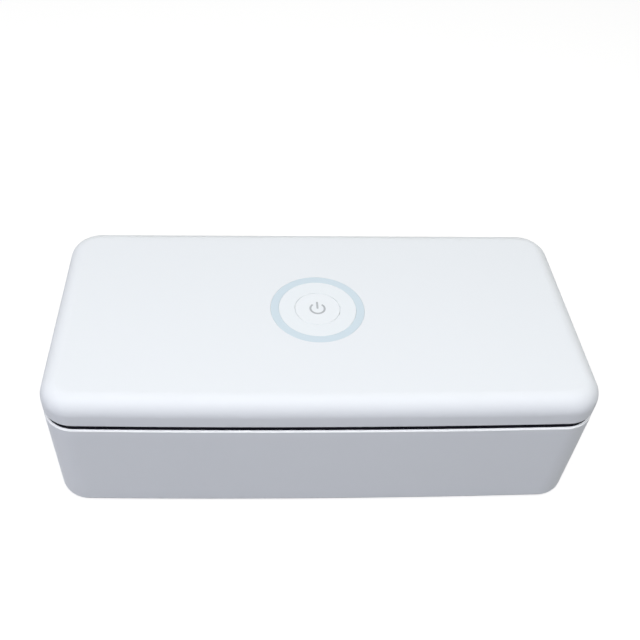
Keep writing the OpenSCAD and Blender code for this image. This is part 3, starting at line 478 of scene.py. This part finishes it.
def board_look(name, mask, track, rough):
    """A circuit board: solder mask over fine copper tracks."""
    k = Look(name, mask, rough)
    w = k.node("ShaderNodeTexBrick")
    w.inputs["Scale"].default_value = 260.0
    w.inputs["Mortar Size"].default_value = 0.035
    w.inputs["Color1"].default_value = (*mask, 1)
    w.inputs["Color2"].default_value = (*(c * 0.93 for c in mask), 1)
    w.inputs["Mortar"].default_value = (*track, 1)
    k.link(k.mapped((1, 1, 1)), w.inputs["Vector"])
    k.link(w.outputs["Color"], k.bsdf.inputs["Base Color"])
    k.rough_from(k.noise(200.0, 3.0, 0.5), rough - 0.05, rough + 0.05)
    k.bump(w.outputs["Fac"], 0.2, 0.00002)
    return k.mat


BOARD_GREEN = board_look("board_green", (0.012, 0.12, 0.06), (0.03, 0.20, 0.10), 0.35)
BOARD_WHITE = board_look("board_white", (0.78, 0.79, 0.78), (0.68, 0.70, 0.70), 0.35)


def lamp_look():
    """A ceramic chip carrier, yellowish, with a fine mottled tone."""
    k = Look("lamp_ceramic", (0.80, 0.78, 0.70), 0.4)
    k.color_from(k.noise(700.0, 3.0, 0.6), (0.74, 0.70, 0.52), (0.84, 0.80, 0.62))
    k.rough_from(k.noise(300.0, 2.0, 0.5), 0.3, 0.45)
    k.bump(k.noise(1500.0, 3.0, 0.6), 0.2, 0.00002)
    return k.mat


def glass_look():
    k = Look("lamp_quartz", (0.93, 0.95, 0.99), 0.03)
    k.set("Transmission Weight", 1.0)
    k.set("IOR", 1.46)
    k.rough_from(k.noise(300.0, 3.0, 0.5), 0.02, 0.05)
    return k.mat


LAMP = lamp_look()
QUARTZ = glass_look()

LOOKS = {
    "shell_plastic": SHELL, "inner_panel": PANEL, "cover_plastic": COVER, "seal_rubber": SEAL,
    "foot_rubber": FOOT, "clear_foot": CLEAR_FOOT, "chamber_metal": TUB, "bright_wire": WIRE, "steel": STEEL,
    "magnet_nickel": NICKEL, "gold_contact": GOLD, "board_green": BOARD_GREEN, "board_white": BOARD_WHITE,
    "chip_black": CHIP, "lamp_ceramic": LAMP, "lamp_glass": QUARTZ, "core_ferrite": FERRITE,
    "can_aluminium": CAN, "header_nylon": NYLON, "cable_jacket": JACKET, "lead_jacket": LEAD,
    "ring_diffuser": RING, "bezel_plastic": BEZEL, "button_plastic": BUTTON, "symbol_print": SYMBOL,
}
SLOT_OF = {s["node"]: s["material_slot"] for s in frame["record"]["subparts"]}
BODY_OF = {n: b for b, members in frame["record"]["behaviour"]["bodies"].items() for n in members}

# ---------------------------------------------------------------- lid
def lid_skin():
    side = rounded([(2, 68, 0), (14, 68, 7.8), (14, LID_Z, 0.6), (11.6, LID_Z, 0.3),
                    (11.6, 65.6, 5.4), (2, 65.6, 0)], False)
    loops = [disc_loop(r, z) for r, z in
             [(20.75, 66.6), (20.75, 67.94), (20.768, 67.982), (20.81, 68.0)]]
    outer = [round_loop(x, z) for x, z in side]
    loops += between(loops[-1], outer[0], 12)
    loops += outer
    under = [disc_loop(r, z) for r, z in [(23.4, 65.6), (23.4, 66.6)]]
    loops += between(outer[-1], under[0], 12)
    loops += under
    obj = loops_object("lid_skin", loops, closed=True)
    posts = []
    for x in (-95, 0, 95):
        for y in (-41, 41):
            posts.append(lathe("post", rounded([(1.3, 57.3, 0.1), (3, 57.3, 0.2), (3, 65.8, 0), (1.3, 65.8, 0)],
                                               True), (x, y), 40, True, True))
    for a in (30, 150, 270):
        c = (27.6 * math.cos(math.radians(a)), 27.6 * math.sin(math.radians(a)))
        posts.append(lathe("post", rounded([(0.9, 61.2, 0.1), (2.4, 61.2, 0.2), (2.4, 65.8, 0), (0.9, 65.8, 0)],
                                           True), c, 40))
    return join("lid_skin", [obj] + posts)


def polar_bar(name, reach, bore, x0, x1, bevel=0.35, steps=144, solid=False):
    """A bar along the hinge axis. Its outline is given as a reach for each angle, seen from the right."""
    angles = [2 * math.pi * k / steps for k in range(steps)]
    outline = [reach(a) for a in angles]
    rows = []

    def row(x, inset, radius=None):
        out = []
        for a, r in zip(angles, outline):
            d = (radius if radius is not None else r - inset)
            out.append(bm.verts.new(world(x, HINGE_Y + d * math.cos(a), HINGE_Z + d * math.sin(a), False)))
        return out

    bm = bmesh.new()
    ends = [(bevel * t, bevel * u) for t, u in [(0, 1.0), (0.13, 0.5), (0.5, 0.13), (1.0, 0.0)]]
    if not solid:
        rows.append(row(x0 + 0.15, 0, bore))
        rows.append(row(x0, 0, bore + 0.15))
    for dx, inset in ends:
        rows.append(row(x0 + dx, inset))
    for dx, inset in reversed(ends):
        rows.append(row(x1 - dx, inset))
    if not solid:
        rows.append(row(x1, 0, bore + 0.15))
        rows.append(row(x1 - 0.15, 0, bore))
    pairs = list(zip(rows, rows[1:]))
    if solid:
        bm.faces.new(rows[0])
        bm.faces.new(rows[-1])
    else:
        pairs.append((rows[-1], rows[0]))
    for a, b in pairs:
        for i in range(steps):
            j = (i + 1) % steps
            bm.faces.new((a[i], a[j], b[j], b[i]))
    return from_bmesh(name, bm)


def reach_of(polygons, r):
    """How far a section reaches at each angle: a disc of radius r, and polygons round the axis."""
    def reach(a):
        best = r
        d = Vector((math.cos(a), math.sin(a)))
        for poly in polygons:
            n = len(poly)
            for i in range(n):
                p, q = Vector(poly[i]), Vector(poly[(i + 1) % n])
                e = q - p
                det = d.x * -e.y + e.x * d.y
                if abs(det) < 1e-9:
                    continue
                t = (p.x * -e.y + e.x * p.y) / det
                u = (d.x * p.y - d.y * p.x) / det
                if t > best and -1e-9 <= u <= 1 + 1e-9:
                    best = t
        return best
    return reach


STOP = [(0, 0), (4 * math.cos(math.radians(-37.59)), 4 * math.sin(math.radians(-37.59))),
        (4 * math.cos(math.radians(-13.59)), 4 * math.sin(math.radians(-13.59)))]
LID_ARM = [(-3.7, 1.8), (0, 0), (2.56, 1.92), (-3, 7), (-3.7, 7)]
BASE_ARM = [(-3.7, -9), (-3, -9), (2.56, -1.92), (0, 0), (-3.7, -1.8)]
lid_reach = reach_of([LID_ARM, STOP], BARREL)
base_reach = reach_of([BASE_ARM], BARREL)

lid_parts = [lid_skin()]
for s in (-1, 1):
    lid_parts.append(polar_bar("knuckle", lid_reach, 1.3, s * 62 - 9, s * 62 + 9))
lid_parts.append(polar_bar("guide", lambda a: BARREL, 1.4, 0.15, 4.2, 0.25))
lid_parts.append(polar_bar("guide", reach_of(
    [[(-3.7, 0), (3.2, 0), (3.2, 5.01), (0.91, 7.3), (-3.7, 7.3)]], BARREL), 0, 4.0, 14.0, 0.5, solid=True))
lid = shade(join("lid_shell_skin", lid_parts))
piece(lid, "lid", "shell_plastic", SHELL, "lid_shell")


def panel_skin():
    side = rounded([(2, 57.3, 0), (11.3, 57.3, 0.25), (11.3, 54.3, 0.2), (10.1, 54.3, 0.2), (10.1, 55.5, 0.25),
                    (2, 55.5, 0)], False)
    outer = [round_loop(x, z) for x, z in side]
    top, low = disc_loop(10, 57.3), disc_loop(10, 55.5)
    loops = [top] + between(top, outer[0], 6) + outer + between(outer[-1], low, 6) + [low]
    obj = loops_object("lid_panel_skin", loops, cap=True)
    cutters = []
    for x in (-79, -49, 49, 79):
        cutters.append(cylinder_cutter(x, 0, 54, 58, 3.4))
        cutters.append(cylinder_cutter(x, 0, 56.5, 58.5, 4.3))
    for x in (-95, 0, 95):
        for y in (-41, 41):
            cutters.append(cylinder_cutter(x, y, 54, 58, 1.5))
            cutters.append(cylinder_cutter(x, y, 54, 56.4, 2.7))
    for c in cutters:
        cut(obj, [c])
    parts = [obj]
    for s in (-1, 1):
        for dx in (-22, 22):
            for dy in (-4.6, 4.6):
                parts.append(lathe("post", rounded([(0.9, 57.25, 0), (2.2, 57.25, 0), (2.2, 59.2, 0.2),
                                                    (0.9, 59.2, 0.1)], True), (s * 64 + dx, dy), 32))
    for x, l in ((-64, 12), (64, 12), (83, 6)):
        pocket = block(x, MAGNET_Y, l + 0.3, 3.3, 56.5, 60, 0.02)
        parts.append(cut(block(x, MAGNET_Y, l + 1.8, 4.8, 57.25, 58.7), [pocket]))
    return join("lid_panel_skin", parts)


panel = shade(panel_skin())
piece(panel, "lid", "inner_panel", PANEL, "lid_panel")

# ---------------------------------------------------------------- ring, bezel, button
ring = lathe("light_ring_skin", rounded([
    (17.15, 68, 0.07), (17.15, 66.6, 0), (15.0, 66.6, 0.1), (15.0, 65.2, 0.1), (17.7, 65.2, 0.1), (17.7, 61.2, 0.1),
    (20.1, 61.2, 0.1), (20.1, 65.2, 0.1), (23.3, 65.2, 0.1), (23.3, 66.6, 0.1), (20.7, 66.6, 0), (20.7, 68, 0.07)],
    True), (0, 0), 160)
piece(shade(ring), "lid", "ring_diffuser", RING, "light_ring")

bezel = lathe("button_bezel_skin", rounded([
    (10.02, 68, 0.10), (10.02, 66.6, 0.05), (11.05, 66.6, 0.05), (11.05, 61.2, 0.1), (14.9, 61.2, 0.1),
    (14.9, 66.6, 0), (17.1, 66.6, 0.05), (17.1, 68, 0.07)], True), (0, 0), 160)
piece(shade(bezel), "lid", "bezel_plastic", BEZEL, "button_bezel")

button = lathe("power_button_skin", rounded([
    (0, 68, 0), (9.92, 68, 0.12), (9.92, 66.6, 0), (10.8, 66.6, 0.05), (10.8, 65.8, 0.1), (8.6, 65.8, 0.1),
    (8.6, 66.4, 0), (1.7, 66.4, 0.3), (1.7, 63.9, 0.1), (0, 63.9, 0)], False), (0, 0), 160, False)
piece(shade(button), "button", "button_plastic", BUTTON, "power_button")


def symbol_skin():
    """The power symbol: an open ring with round ends, and a bar with round ends."""
    r_out, line = 3.6, 0.9
    mid, half = r_out - line / 2, line / 2
    open_half = 46.0  # half the ring's opening, to the middle of its round ends
    outline = []
    a0, a1 = 90 + open_half, 450 - open_half
    n = 72
    for k in range(n + 1):
        a = math.radians(a0 + (a1 - a0) * k / n)
        outline.append((r_out * math.cos(a), r_out * math.sin(a)))
    for k in range(1, 12):
        t = math.radians(a1 + 180 * k / 12)
        c = (mid * math.cos(math.radians(a1)), mid * math.sin(math.radians(a1)))
        outline.append((c[0] + half * math.cos(t), c[1] + half * math.sin(t)))
    for k in range(n + 1):
        a = math.radians(a1 + (a0 - a1) * k / n)
        outline.append(((r_out - line) * math.cos(a), (r_out - line) * math.sin(a)))
    for k in range(1, 12):
        t = math.radians(a0 + 180 + 180 * k / 12)
        c = (mid * math.cos(math.radians(a0)), mid * math.sin(math.radians(a0)))
        outline.append((c[0] + half * math.cos(t), c[1] + half * math.sin(t)))
    y0, y1 = -0.18 + half, 4.28 - half
    bar = []
    for y, start in ((y1, 0), (y0, 180)):
        for k in range(13):
            t = math.radians(start + 180 * k / 12)
            bar.append((half * math.cos(t), y + half * math.sin(t)))
    bm = bmesh.new()
    for points in (outline, bar):
        rows = [[bm.verts.new(world(x, y, z, False)) for x, y in points] for z in (67.7, 68.004)]
        n = len(points)
        for i in range(n):
            j = (i + 1) % n
            bm.faces.new((rows[0][i], rows[0][j], rows[1][j], rows[1][i]))
        bm.faces.new(rows[0])
        bm.faces.new(rows[1])
    return from_bmesh("power_symbol_skin", bm, False)


piece(symbol_skin(), "button", "symbol_print", SYMBOL, "power_symbol")


# ---------------------------------------------------------------- base
def base_skin():
    side = rounded([
        (9, 1.2, 0.25), (13.4, 1.2, 3), (14, 48.1, 20), (14, RIM_Z, 0.65), (13, RIM_Z, 0.1), (13, 49.5, 0.1),
        (11.6, 49.5, 0.1), (11.6, 48, 0), (8.7, 48, 0.1), (8.7, 46.8, 0.1), (11.6, 43.9, 0.3), (11.6, 5.2, 0.1),
        (6, 5.2, 0.1), (6, 3.6, 0.1), (9, 3.6, 0.1)], True)
    obj = loops_object("base_skin", [round_loop(x, z) for x, z in side], closed=True)
    cut(obj, [slot_cutter(38, 11.23, 13, 7.4, 54.4, 58)])
    cut(obj, [slot_cutter(38, 11.23, 9.14, 3.46, 50, 58)])
    return obj


base_parts = [base_skin()]
for s in (-1, 1):
    for e in (-1, 1):
        m = s * 62 + e * 13.3
        base_parts.append(polar_bar("knuckle", base_reach, 1.26, m - 4, m + 4))
base_parts.append(polar_bar("guide", lambda a: BARREL, 1.4, -4.2, -0.15, 0.25))
base_parts.append(polar_bar("guide", reach_of([[(-3.7, 0), (-3.7, -18.4), (2.9, -18.4), (3.2, -18.1), (3.2, 0)]],
                                              BARREL), 0, -14.0, -4.0, 0.5, solid=True))
base = shade(join("base_shell_skin", base_parts))
piece(base, "base", "shell_plastic", BASE_SHELL, "base_shell")

seal = loops_object("rim_seal_skin", [round_loop(x, z) for x, z in rounded(
    [(12.9, 49.5, 0.1), (12.9, 54.2, 1.499), (9.9, 54.2, 1.499), (9.9, 49.5, 0.1)], True)], closed=True)
piece(shade(seal), "base", "seal_rubber", SEAL, "rim_seal")


def tub_skin():
    side = rounded([
        (0.6, 18, 0), (3.5, 18, 2.85), (3.5, 52.9, 0.7), (9.8, 52.9, 0.3), (9.8, 49.5, 0.1), (11.4, 49.5, 0.1),
        (11.4, 48, 0.1), (8.3, 48, 0.1), (8.3, 51.4, 0.1), (5, 51.4, 0.1), (5, 16.5, 0.2), (0.6, 16.5, 0)], False)
    outer = [round_loop(x, z) for x, z in side]
    top, low = disc_loop(14, 18), disc_loop(14, 16.5)
    loops = [top] + between(top, outer[0], 6) + outer + between(outer[-1], low, 6) + [low]
    obj = loops_object("tub_skin", loops, cap=True)
    for x in (-66, -22, 22, 66):
        cut(obj, [cylinder_cutter(x, 0, 15, 20, 3.4)])
        cut(obj, [cylinder_cutter(x, 0, 15, 17.3, 4.3)])
    parts = [obj]
    for x in (-78, 0, 78):
        for y in (-36, 36):
            parts.append(lathe("post", rounded([(1.3, 3.6, 0.1), (3.4, 3.6, 0.2), (3.4, 16.55, 0), (1.3, 16.55, 0)],
                                               True), (x, y), 40, True, True))
    for x in (-74, 74):
        for y in (-4, 4):
            parts.append(lathe("post", rounded([(0.9, 14.6, 0.1), (2.2, 14.6, 0.1), (2.2, 16.55, 0),
                                                (0.9, 16.55, 0)], True), (x, y), 32))
    for x in (-64, 64):
        pocket = block(x, MAGNET_Y, 12.3, 3.3, 47, 52.1, 0.02)
        parts.append(cut(block(x, MAGNET_Y, 14, 3.9, 49.1, 52.6), [pocket]))
    return join("chamber_tub_skin", parts)


tub = shade(tub_skin())
piece(tub, "base", "chamber_metal", TUB, "chamber_tub")


DRIVER_HOLES = [(38 + s * 21.5, y) for s in (-1, 1) for y in (22.1, 44.6)]


def cover_skin():
    side = rounded([(2, 3.6, 0), (8.9, 3.6, 0.1), (8.9, 1.2, 0.25), (2, 1.2, 0)], False)
    outer = [round_loop(x, z) for x, z in side]
    top, low = disc_loop(14, 3.6), disc_loop(14, 1.2)
    loops = [top] + between(top, outer[0], 6) + outer + between(outer[-1], low, 6) + [low]
    obj = loops_object("cover_skin", loops, cap=True)
    cutters = []
    for x in (-97, 97):
        for y in (-40, 40):
            cutters.append(cylinder_cutter(x, y, 0, 2.2, 5.1))
    for x in (-78, 0, 78):
        for y in (-36, 36):
            cutters.append(cylinder_cutter(x, y, 0, 5, 1.5))
            cutters.append(cylinder_cutter(x, y, 0, 2.8, 2.8))
    for c in cutters:
        cut(obj, [c])
    parts = [obj]
    for x, y in DRIVER_HOLES:
        parts.append(lathe("post", rounded([(0.9, 3.55, 0), (2.6, 3.55, 0), (2.6, 8.0, 0.2), (0.9, 8.0, 0.1)], True),
                           (x, y), 32))
    return join("bottom_cover_skin", parts)


cover = shade(cover_skin())
piece(cover, "base", "cover_plastic", COVER, "bottom_cover")


# ---------------------------------------------------------------- the other nodes, with their edges softened
def dressed(node, bevel, bow):
    """A copy of a node's mesh, welded, with its sharp edges rounded."""
    source = frame["nodes"][node]
    bm = bmesh.new()
    bm.from_mesh(source.data)
    bmesh.ops.remove_doubles(bm, verts=bm.verts, dist=2e-6)
    bmesh.ops.dissolve_limit(bm, angle_limit=math.radians(0.6), verts=bm.verts, edges=bm.edges)
    if bow:
        for v in bm.verts:
            x, y = v.co.x * 1000, v.co.y * 1000 - MIDDLE_Y
            v.co.y = (bowed(x, y) + MIDDLE_Y) * 0.001
    obj = from_bmesh(node + "_skin", bm)
    m = obj.modifiers.new("edges", "BEVEL")
    m.width = bevel * 0.001
    m.segments = 2
    m.limit_method = "ANGLE"
    m.angle_limit = math.radians(38)
    m.use_clamp_overlap = True
    m.miter_outer = "MITER_ARC"
    apply_modifiers(obj)
    shade(obj, 40)
    piece(obj, BODY_OF[node], SLOT_OF[node], LOOKS[SLOT_OF[node]], node)


for node, bevel, bow in [
    ("case_screws", 0.12, True), ("rubber_feet", 0.2, True), ("base_lamp_board", 0.08, False),
    ("base_lamp_chips", 0.06, False), ("base_lamp_lenses", 0.08, False), ("base_lamp_screws", 0.08, False),
    ("driver_board", 0.08, False), ("driver_screws", 0.08, False), ("driver_inductor", 0.3, False),
    ("driver_capacitors", 0.2, False), ("driver_chip", 0.06, False), ("cable_headers", 0.15, False),
    ("usb_socket_shell", 0.05, False), ("usb_socket_tongue", 0.08, False), ("base_magnets", 0.15, True),
    ("lid_sensor_board", 0.06, True), ("lid_sensor_chip", 0.06, True), ("hinge_pins", 0.2, False),
    ("rack_feet", 0.25, False), ("lid_panel_screws", 0.12, True), ("button_board", 0.06, False),
    ("button_board_screws", 0.08, False), ("tact_switch", 0.1, False), ("ring_leds", 0.06, False),
    ("lid_header", 0.12, False), ("lid_lamp_board_left", 0.08, False), ("lid_lamp_board_right", 0.08, False),
    ("lid_lamp_chips", 0.06, False), ("lid_lamp_lenses", 0.08, False), ("lid_lamp_screws", 0.08, False),
    ("lid_magnets", 0.15, True), ("sensor_magnet", 0.15, True), ("switch_plunger", 0.15, False),
]:
    dressed(node, bevel, bow)


# ---------------------------------------------------------------- tubes: rack wires, cables and leads
def tube(name, points, r, edge=0.3, closed=False, steps=20):
    """A round wire or cable along points. Its ends are rounded by edge, up to nearly a dome."""
    p = [Vector(q) for q in points]
    n = len(p)

    def tangent(i):
        a = p[(i - 1) % n] if closed else p[max(i - 1, 0)]
        b = p[(i + 1) % n] if closed else p[min(i + 1, n - 1)]
        return (b - a).normalized()

    stops = [(p[i], tangent(i), r) for i in range(n)]
    if not closed:
        first, last = tangent(0), tangent(n - 1)
        turn = [math.radians(a) for a in (90, 65, 40, 18, 0)]
        head = [(p[0] + first * edge * (1 - math.sin(t)), first, r - edge * (1 - math.cos(t))) for t in turn]
        tail = [(p[-1] - last * edge * (1 - math.sin(t)), last, r - edge * (1 - math.cos(t))) for t in reversed(turn)]
        stops = head + stops[1:-1] + tail
    normal = Vector((0, 0, 1)) if abs(stops[0][1].z) < 0.9 else Vector((1, 0, 0))
    bm = bmesh.new()
    rows = []
    for c, t, radius in stops:
        normal = (normal - t * normal.dot(t)).normalized()
        side = t.cross(normal)
        turns = [2 * math.pi * k / steps for k in range(steps)]
        rows.append([bm.verts.new(world(*(c + radius * (math.cos(a) * normal + math.sin(a) * side)), False))
                     for a in turns])
    pairs = list(zip(rows, rows[1:])) + ([(rows[-1], rows[0])] if closed else [])
    for a, b in pairs:
        for i in range(steps):
            j = (i + 1) % steps
            bm.faces.new((a[i], a[j], b[j], b[i]))
    if not closed:
        bm.faces.new(rows[0])
        bm.faces.new(rows[-1])
    return from_bmesh(name, bm)


def bent(route, bend, n=10):
    """The route with its corners rounded, starting a bend before and after each of them."""
    p = [Vector(q) for q in route]
    out = [p[0]]
    for a, b, c in zip(p, p[1:], p[2:]):
        start, end = b + bend * (a - b).normalized(), b + bend * (c - b).normalized()
        out += [(1 - t) ** 2 * start + 2 * t * (1 - t) * b + t * t * end for t in [k / n for k in range(n + 1)]]
    return out + [p[-1]]


RACK_W, RACK_D, RACK_Z, RACK_R = 197.0, 79.0, 24.0, 8.0


def rack_skin():
    """The rack: a frame wire with round corners, cross wires welded on it, and four legs."""
    frame_path = []
    for i, (sx, sy) in enumerate([(1, 1), (-1, 1), (-1, -1), (1, -1)]):
        c = (sx * (RACK_W / 2 - RACK_R), sy * (RACK_D / 2 - RACK_R))
        frame_path += [(x, y, RACK_Z) for x, y in arc_points(c, RACK_R, 90 * i, 90 * i + 90, 16)]
    parts = [tube("frame", frame_path, 1.2, closed=True, steps=24)]
    for i in range(11):
        x = -(RACK_W / 2 - RACK_R) + i * (RACK_W - 2 * RACK_R) / 10
        y = RACK_D / 2 + 0.8
        parts.append(tube("cross", [(x, -y, 25.7), (x, -y / 2, 25.7), (x, 0, 25.7), (x, y / 2, 25.7), (x, y, 25.7)],
                          0.9, 0.8))
        for s in (-1, 1):
            weld = [(0.05, -1.5), (0.5, -1.42), (0.85, -1.0), (1.02, 0), (0.85, 1.0), (0.5, 1.42), (0.05, 1.5)]
            parts.append(lathe("weld", [(r, 24.85 + 0.45 * z) for r, z in weld], (x, s * RACK_D / 2), 20))
    for sx in (-1, 1):
        for sy in (-1, 1):
            x, y = sx * (RACK_W / 2 - RACK_R - 6), sy * RACK_D / 2
            parts.append(tube("leg", [(x, y, 19), (x, y, 21), (x, y, 24)], 1.0, 0.3))
    return join("phone_rack_skin", parts)


piece(shade(rack_skin(), 50), "rack", "bright_wire", WIRE, "phone_rack")

# routes of the cables, as in the solids
HEADER_X, CABLE_Z = 14.0, 11.6
HEADER_YS = (27.7, 33.7, 39.7)


def routed(node, routes, d, bend):
    parts = [tube(node, bent(route, bend), d / 2, 0.15) for route in routes]
    piece(shade(join(node + "_skin", parts), 50), BODY_OF[node], SLOT_OF[node], LOOKS[SLOT_OF[node]], node)


routed("base_cable", [[
    (0, HINGE_Y, HINGE_Z), (-9, HINGE_Y, HINGE_Z), (-9, HINGE_Y, 38.1), (-9, 51.9, 38.1), (-9, 51.9, CABLE_Z),
    (HEADER_X - 6, HEADER_YS[2], CABLE_Z), (HEADER_X, HEADER_YS[2], CABLE_Z)]], 2.2, 2.0)
routed("lid_cable", [[
    (0, HINGE_Y, HINGE_Z), (9, HINGE_Y, HINGE_Z), (9, HINGE_Y, 58.6), (9, 32, 58.6), (9, 28, 58.6)]], 2.2, 2.0)
routed("base_lamp_leads", [[
    (HEADER_X, HEADER_YS[1], CABLE_Z), (8, HEADER_YS[1], CABLE_Z), (8, 12, 10.6), (8, 5, 11), (8, 5, 13)]], 1.2, 0.8)
routed("sensor_leads", [[
    (HEADER_X, HEADER_YS[0], CABLE_Z), (10, HEADER_YS[0], CABLE_Z), (10, 16, 5.2), (10, -20, 5.2), (89, -20, 5.2),
    (89, -39, 5.2), (89, -49, 8.2), (89, -49, 40.1), (88, -47.6, 41.7), (88, -47.6, 43.1)]], 1.2, 0.6)
routed("lid_lamp_leads", [[
    (s * 29, 0, 60), (s * 29, 0, 58.6), (s * 36.6, 0, 58.6), (s * 36.6, 0, 60), (s * 39, 0, 60)]
    for s in (-1, 1)], 1.0, 0.6)

# ---------------------------------------------------------------- floor, light and camera
floor_bm = bmesh.new()
bmesh.ops.create_grid(floor_bm, x_segments=1, y_segments=1, size=4.0)
floor = from_bmesh("floor", floor_bm, False)


def seen_directly(tree):
    """One for camera, glossy and transmission rays, and nought for the light that reaches the object."""
    path = tree.nodes.new("ShaderNodeLightPath")
    value = path.outputs["Is Camera Ray"]
    for name in ("Is Glossy Ray", "Is Transmission Ray"):
        add = tree.nodes.new("ShaderNodeMath")
        add.operation = "ADD"
        add.use_clamp = True
        tree.links.new(value, add.inputs[0])
        tree.links.new(path.outputs[name], add.inputs[1])
        value = add.outputs[0]
    return value


FLOOR_BOUNCE = (0.36, 0.36, 0.365)


def floor_material():
    """A pale floor, seen as the photograph's white ground, with the object's shadow kept."""
    k = Look("floor_pale", FLOOR_BOUNCE, 0.9)
    k.set("Specular IOR Level", 0.0)
    k.rough_from(k.noise(40.0), 0.85, 0.95)
    seen = k.node("ShaderNodeBsdfPrincipled")
    seen.inputs["Base Color"].default_value = (0.30, 0.30, 0.30, 1)
    seen.inputs["Roughness"].default_value = 0.9
    seen.inputs["Specular IOR Level"].default_value = 0.0
    seen.inputs["Emission Color"].default_value = (1, 1, 1, 1)
    seen.inputs["Emission Strength"].default_value = 0.79
    mix = k.node("ShaderNodeMixShader")
    k.link(seen_directly(k.tree), mix.inputs["Fac"])
    k.link(k.bsdf.outputs["BSDF"], mix.inputs[1])
    k.link(seen.outputs["BSDF"], mix.inputs[2])
    k.link(mix.outputs["Shader"], k.tree.nodes["Material Output"].inputs["Surface"])
    return k.mat


floor.data.materials.append(floor_material())

studio = bpy.data.worlds.new("studio")
bpy.context.scene.world = studio
studio.use_nodes = True
studio_tree = studio.node_tree
soft = studio_tree.nodes["Background"]
soft.inputs["Color"].default_value = (0.72, 0.76, 1.0, 1)
soft.inputs["Strength"].default_value = 0.03
white = studio_tree.nodes.new("ShaderNodeBackground")
white.inputs["Color"].default_value = (1, 1, 1, 1)
white.inputs["Strength"].default_value = 1.0
blend = studio_tree.nodes.new("ShaderNodeMixShader")
studio_tree.links.new(seen_directly(studio_tree), blend.inputs["Fac"])
studio_tree.links.new(soft.outputs["Background"], blend.inputs[1])
studio_tree.links.new(white.outputs["Background"], blend.inputs[2])
studio_tree.links.new(blend.outputs["Shader"], studio_tree.nodes["World Output"].inputs["Surface"])


def area_light(name, place, target, size, power, color):
    data = bpy.data.lights.new(name, "AREA")
    data.shape = "RECTANGLE"
    data.size, data.size_y = size
    data.energy = power
    data.color = color
    obj = bpy.data.objects.new(name, data)
    bpy.context.scene.collection.objects.link(obj)
    obj.location = place
    obj.rotation_euler = (Vector(target) - Vector(place)).to_track_quat("-Z", "Y").to_euler()


area_light("softbox_above", (0.0, 0.1, 1.1), (0, 0, 0), (1.4, 1.0), 5.59, (1.0, 0.993, 0.855))
area_light("softbox_front", (0.0, -0.55, 1.1), (0, 0, 0.03), (1.4, 0.5), 11.64, (0.95, 0.954, 1.0))
area_light("softbox_left", (-1.1, -0.6, 0.8), (0, 0, 0.05), (0.8, 0.8), 4.72, (0.858, 0.864, 1.0))


def add_camera():
    """The camera of the photograph: where it stands, how it turns, and how its frame is shifted."""
    az, el, roll = math.radians(-3.301), math.radians(44.431), math.radians(2.354)
    frame_width, middle_x, sensor = 640, 281.322, 36.0  # pixels, pixels and millimetres
    distance, focal = 364.509, 815.861  # millimetres and pixels
    target = Vector((-15.787, MIDDLE_Y, 60.85))
    back = Vector((math.sin(az) * math.cos(el), -math.cos(az) * math.cos(el), math.sin(el)))
    right = Vector((math.cos(az), math.sin(az), 0))
    up = back.cross(right)
    rr = right * math.cos(roll) + up * math.sin(roll)
    uu = -right * math.sin(roll) + up * math.cos(roll)
    data = bpy.data.cameras.new("photo_camera")
    data.sensor_width = sensor
    data.lens = focal / frame_width * sensor
    data.shift_x = (frame_width / 2 - middle_x) / frame_width
    data.clip_start = 0.01
    data.clip_end = 20
    obj = bpy.data.objects.new("photo_camera", data)
    bpy.context.scene.collection.objects.link(obj)
    turn = Matrix((rr, uu, back)).transposed().to_4x4()
    obj.matrix_world = Matrix.Translation((target + back * distance) * 0.001) @ turn
    bpy.context.scene.camera = obj


add_camera()
bpy.context.scene.view_settings.view_transform = "Standard"
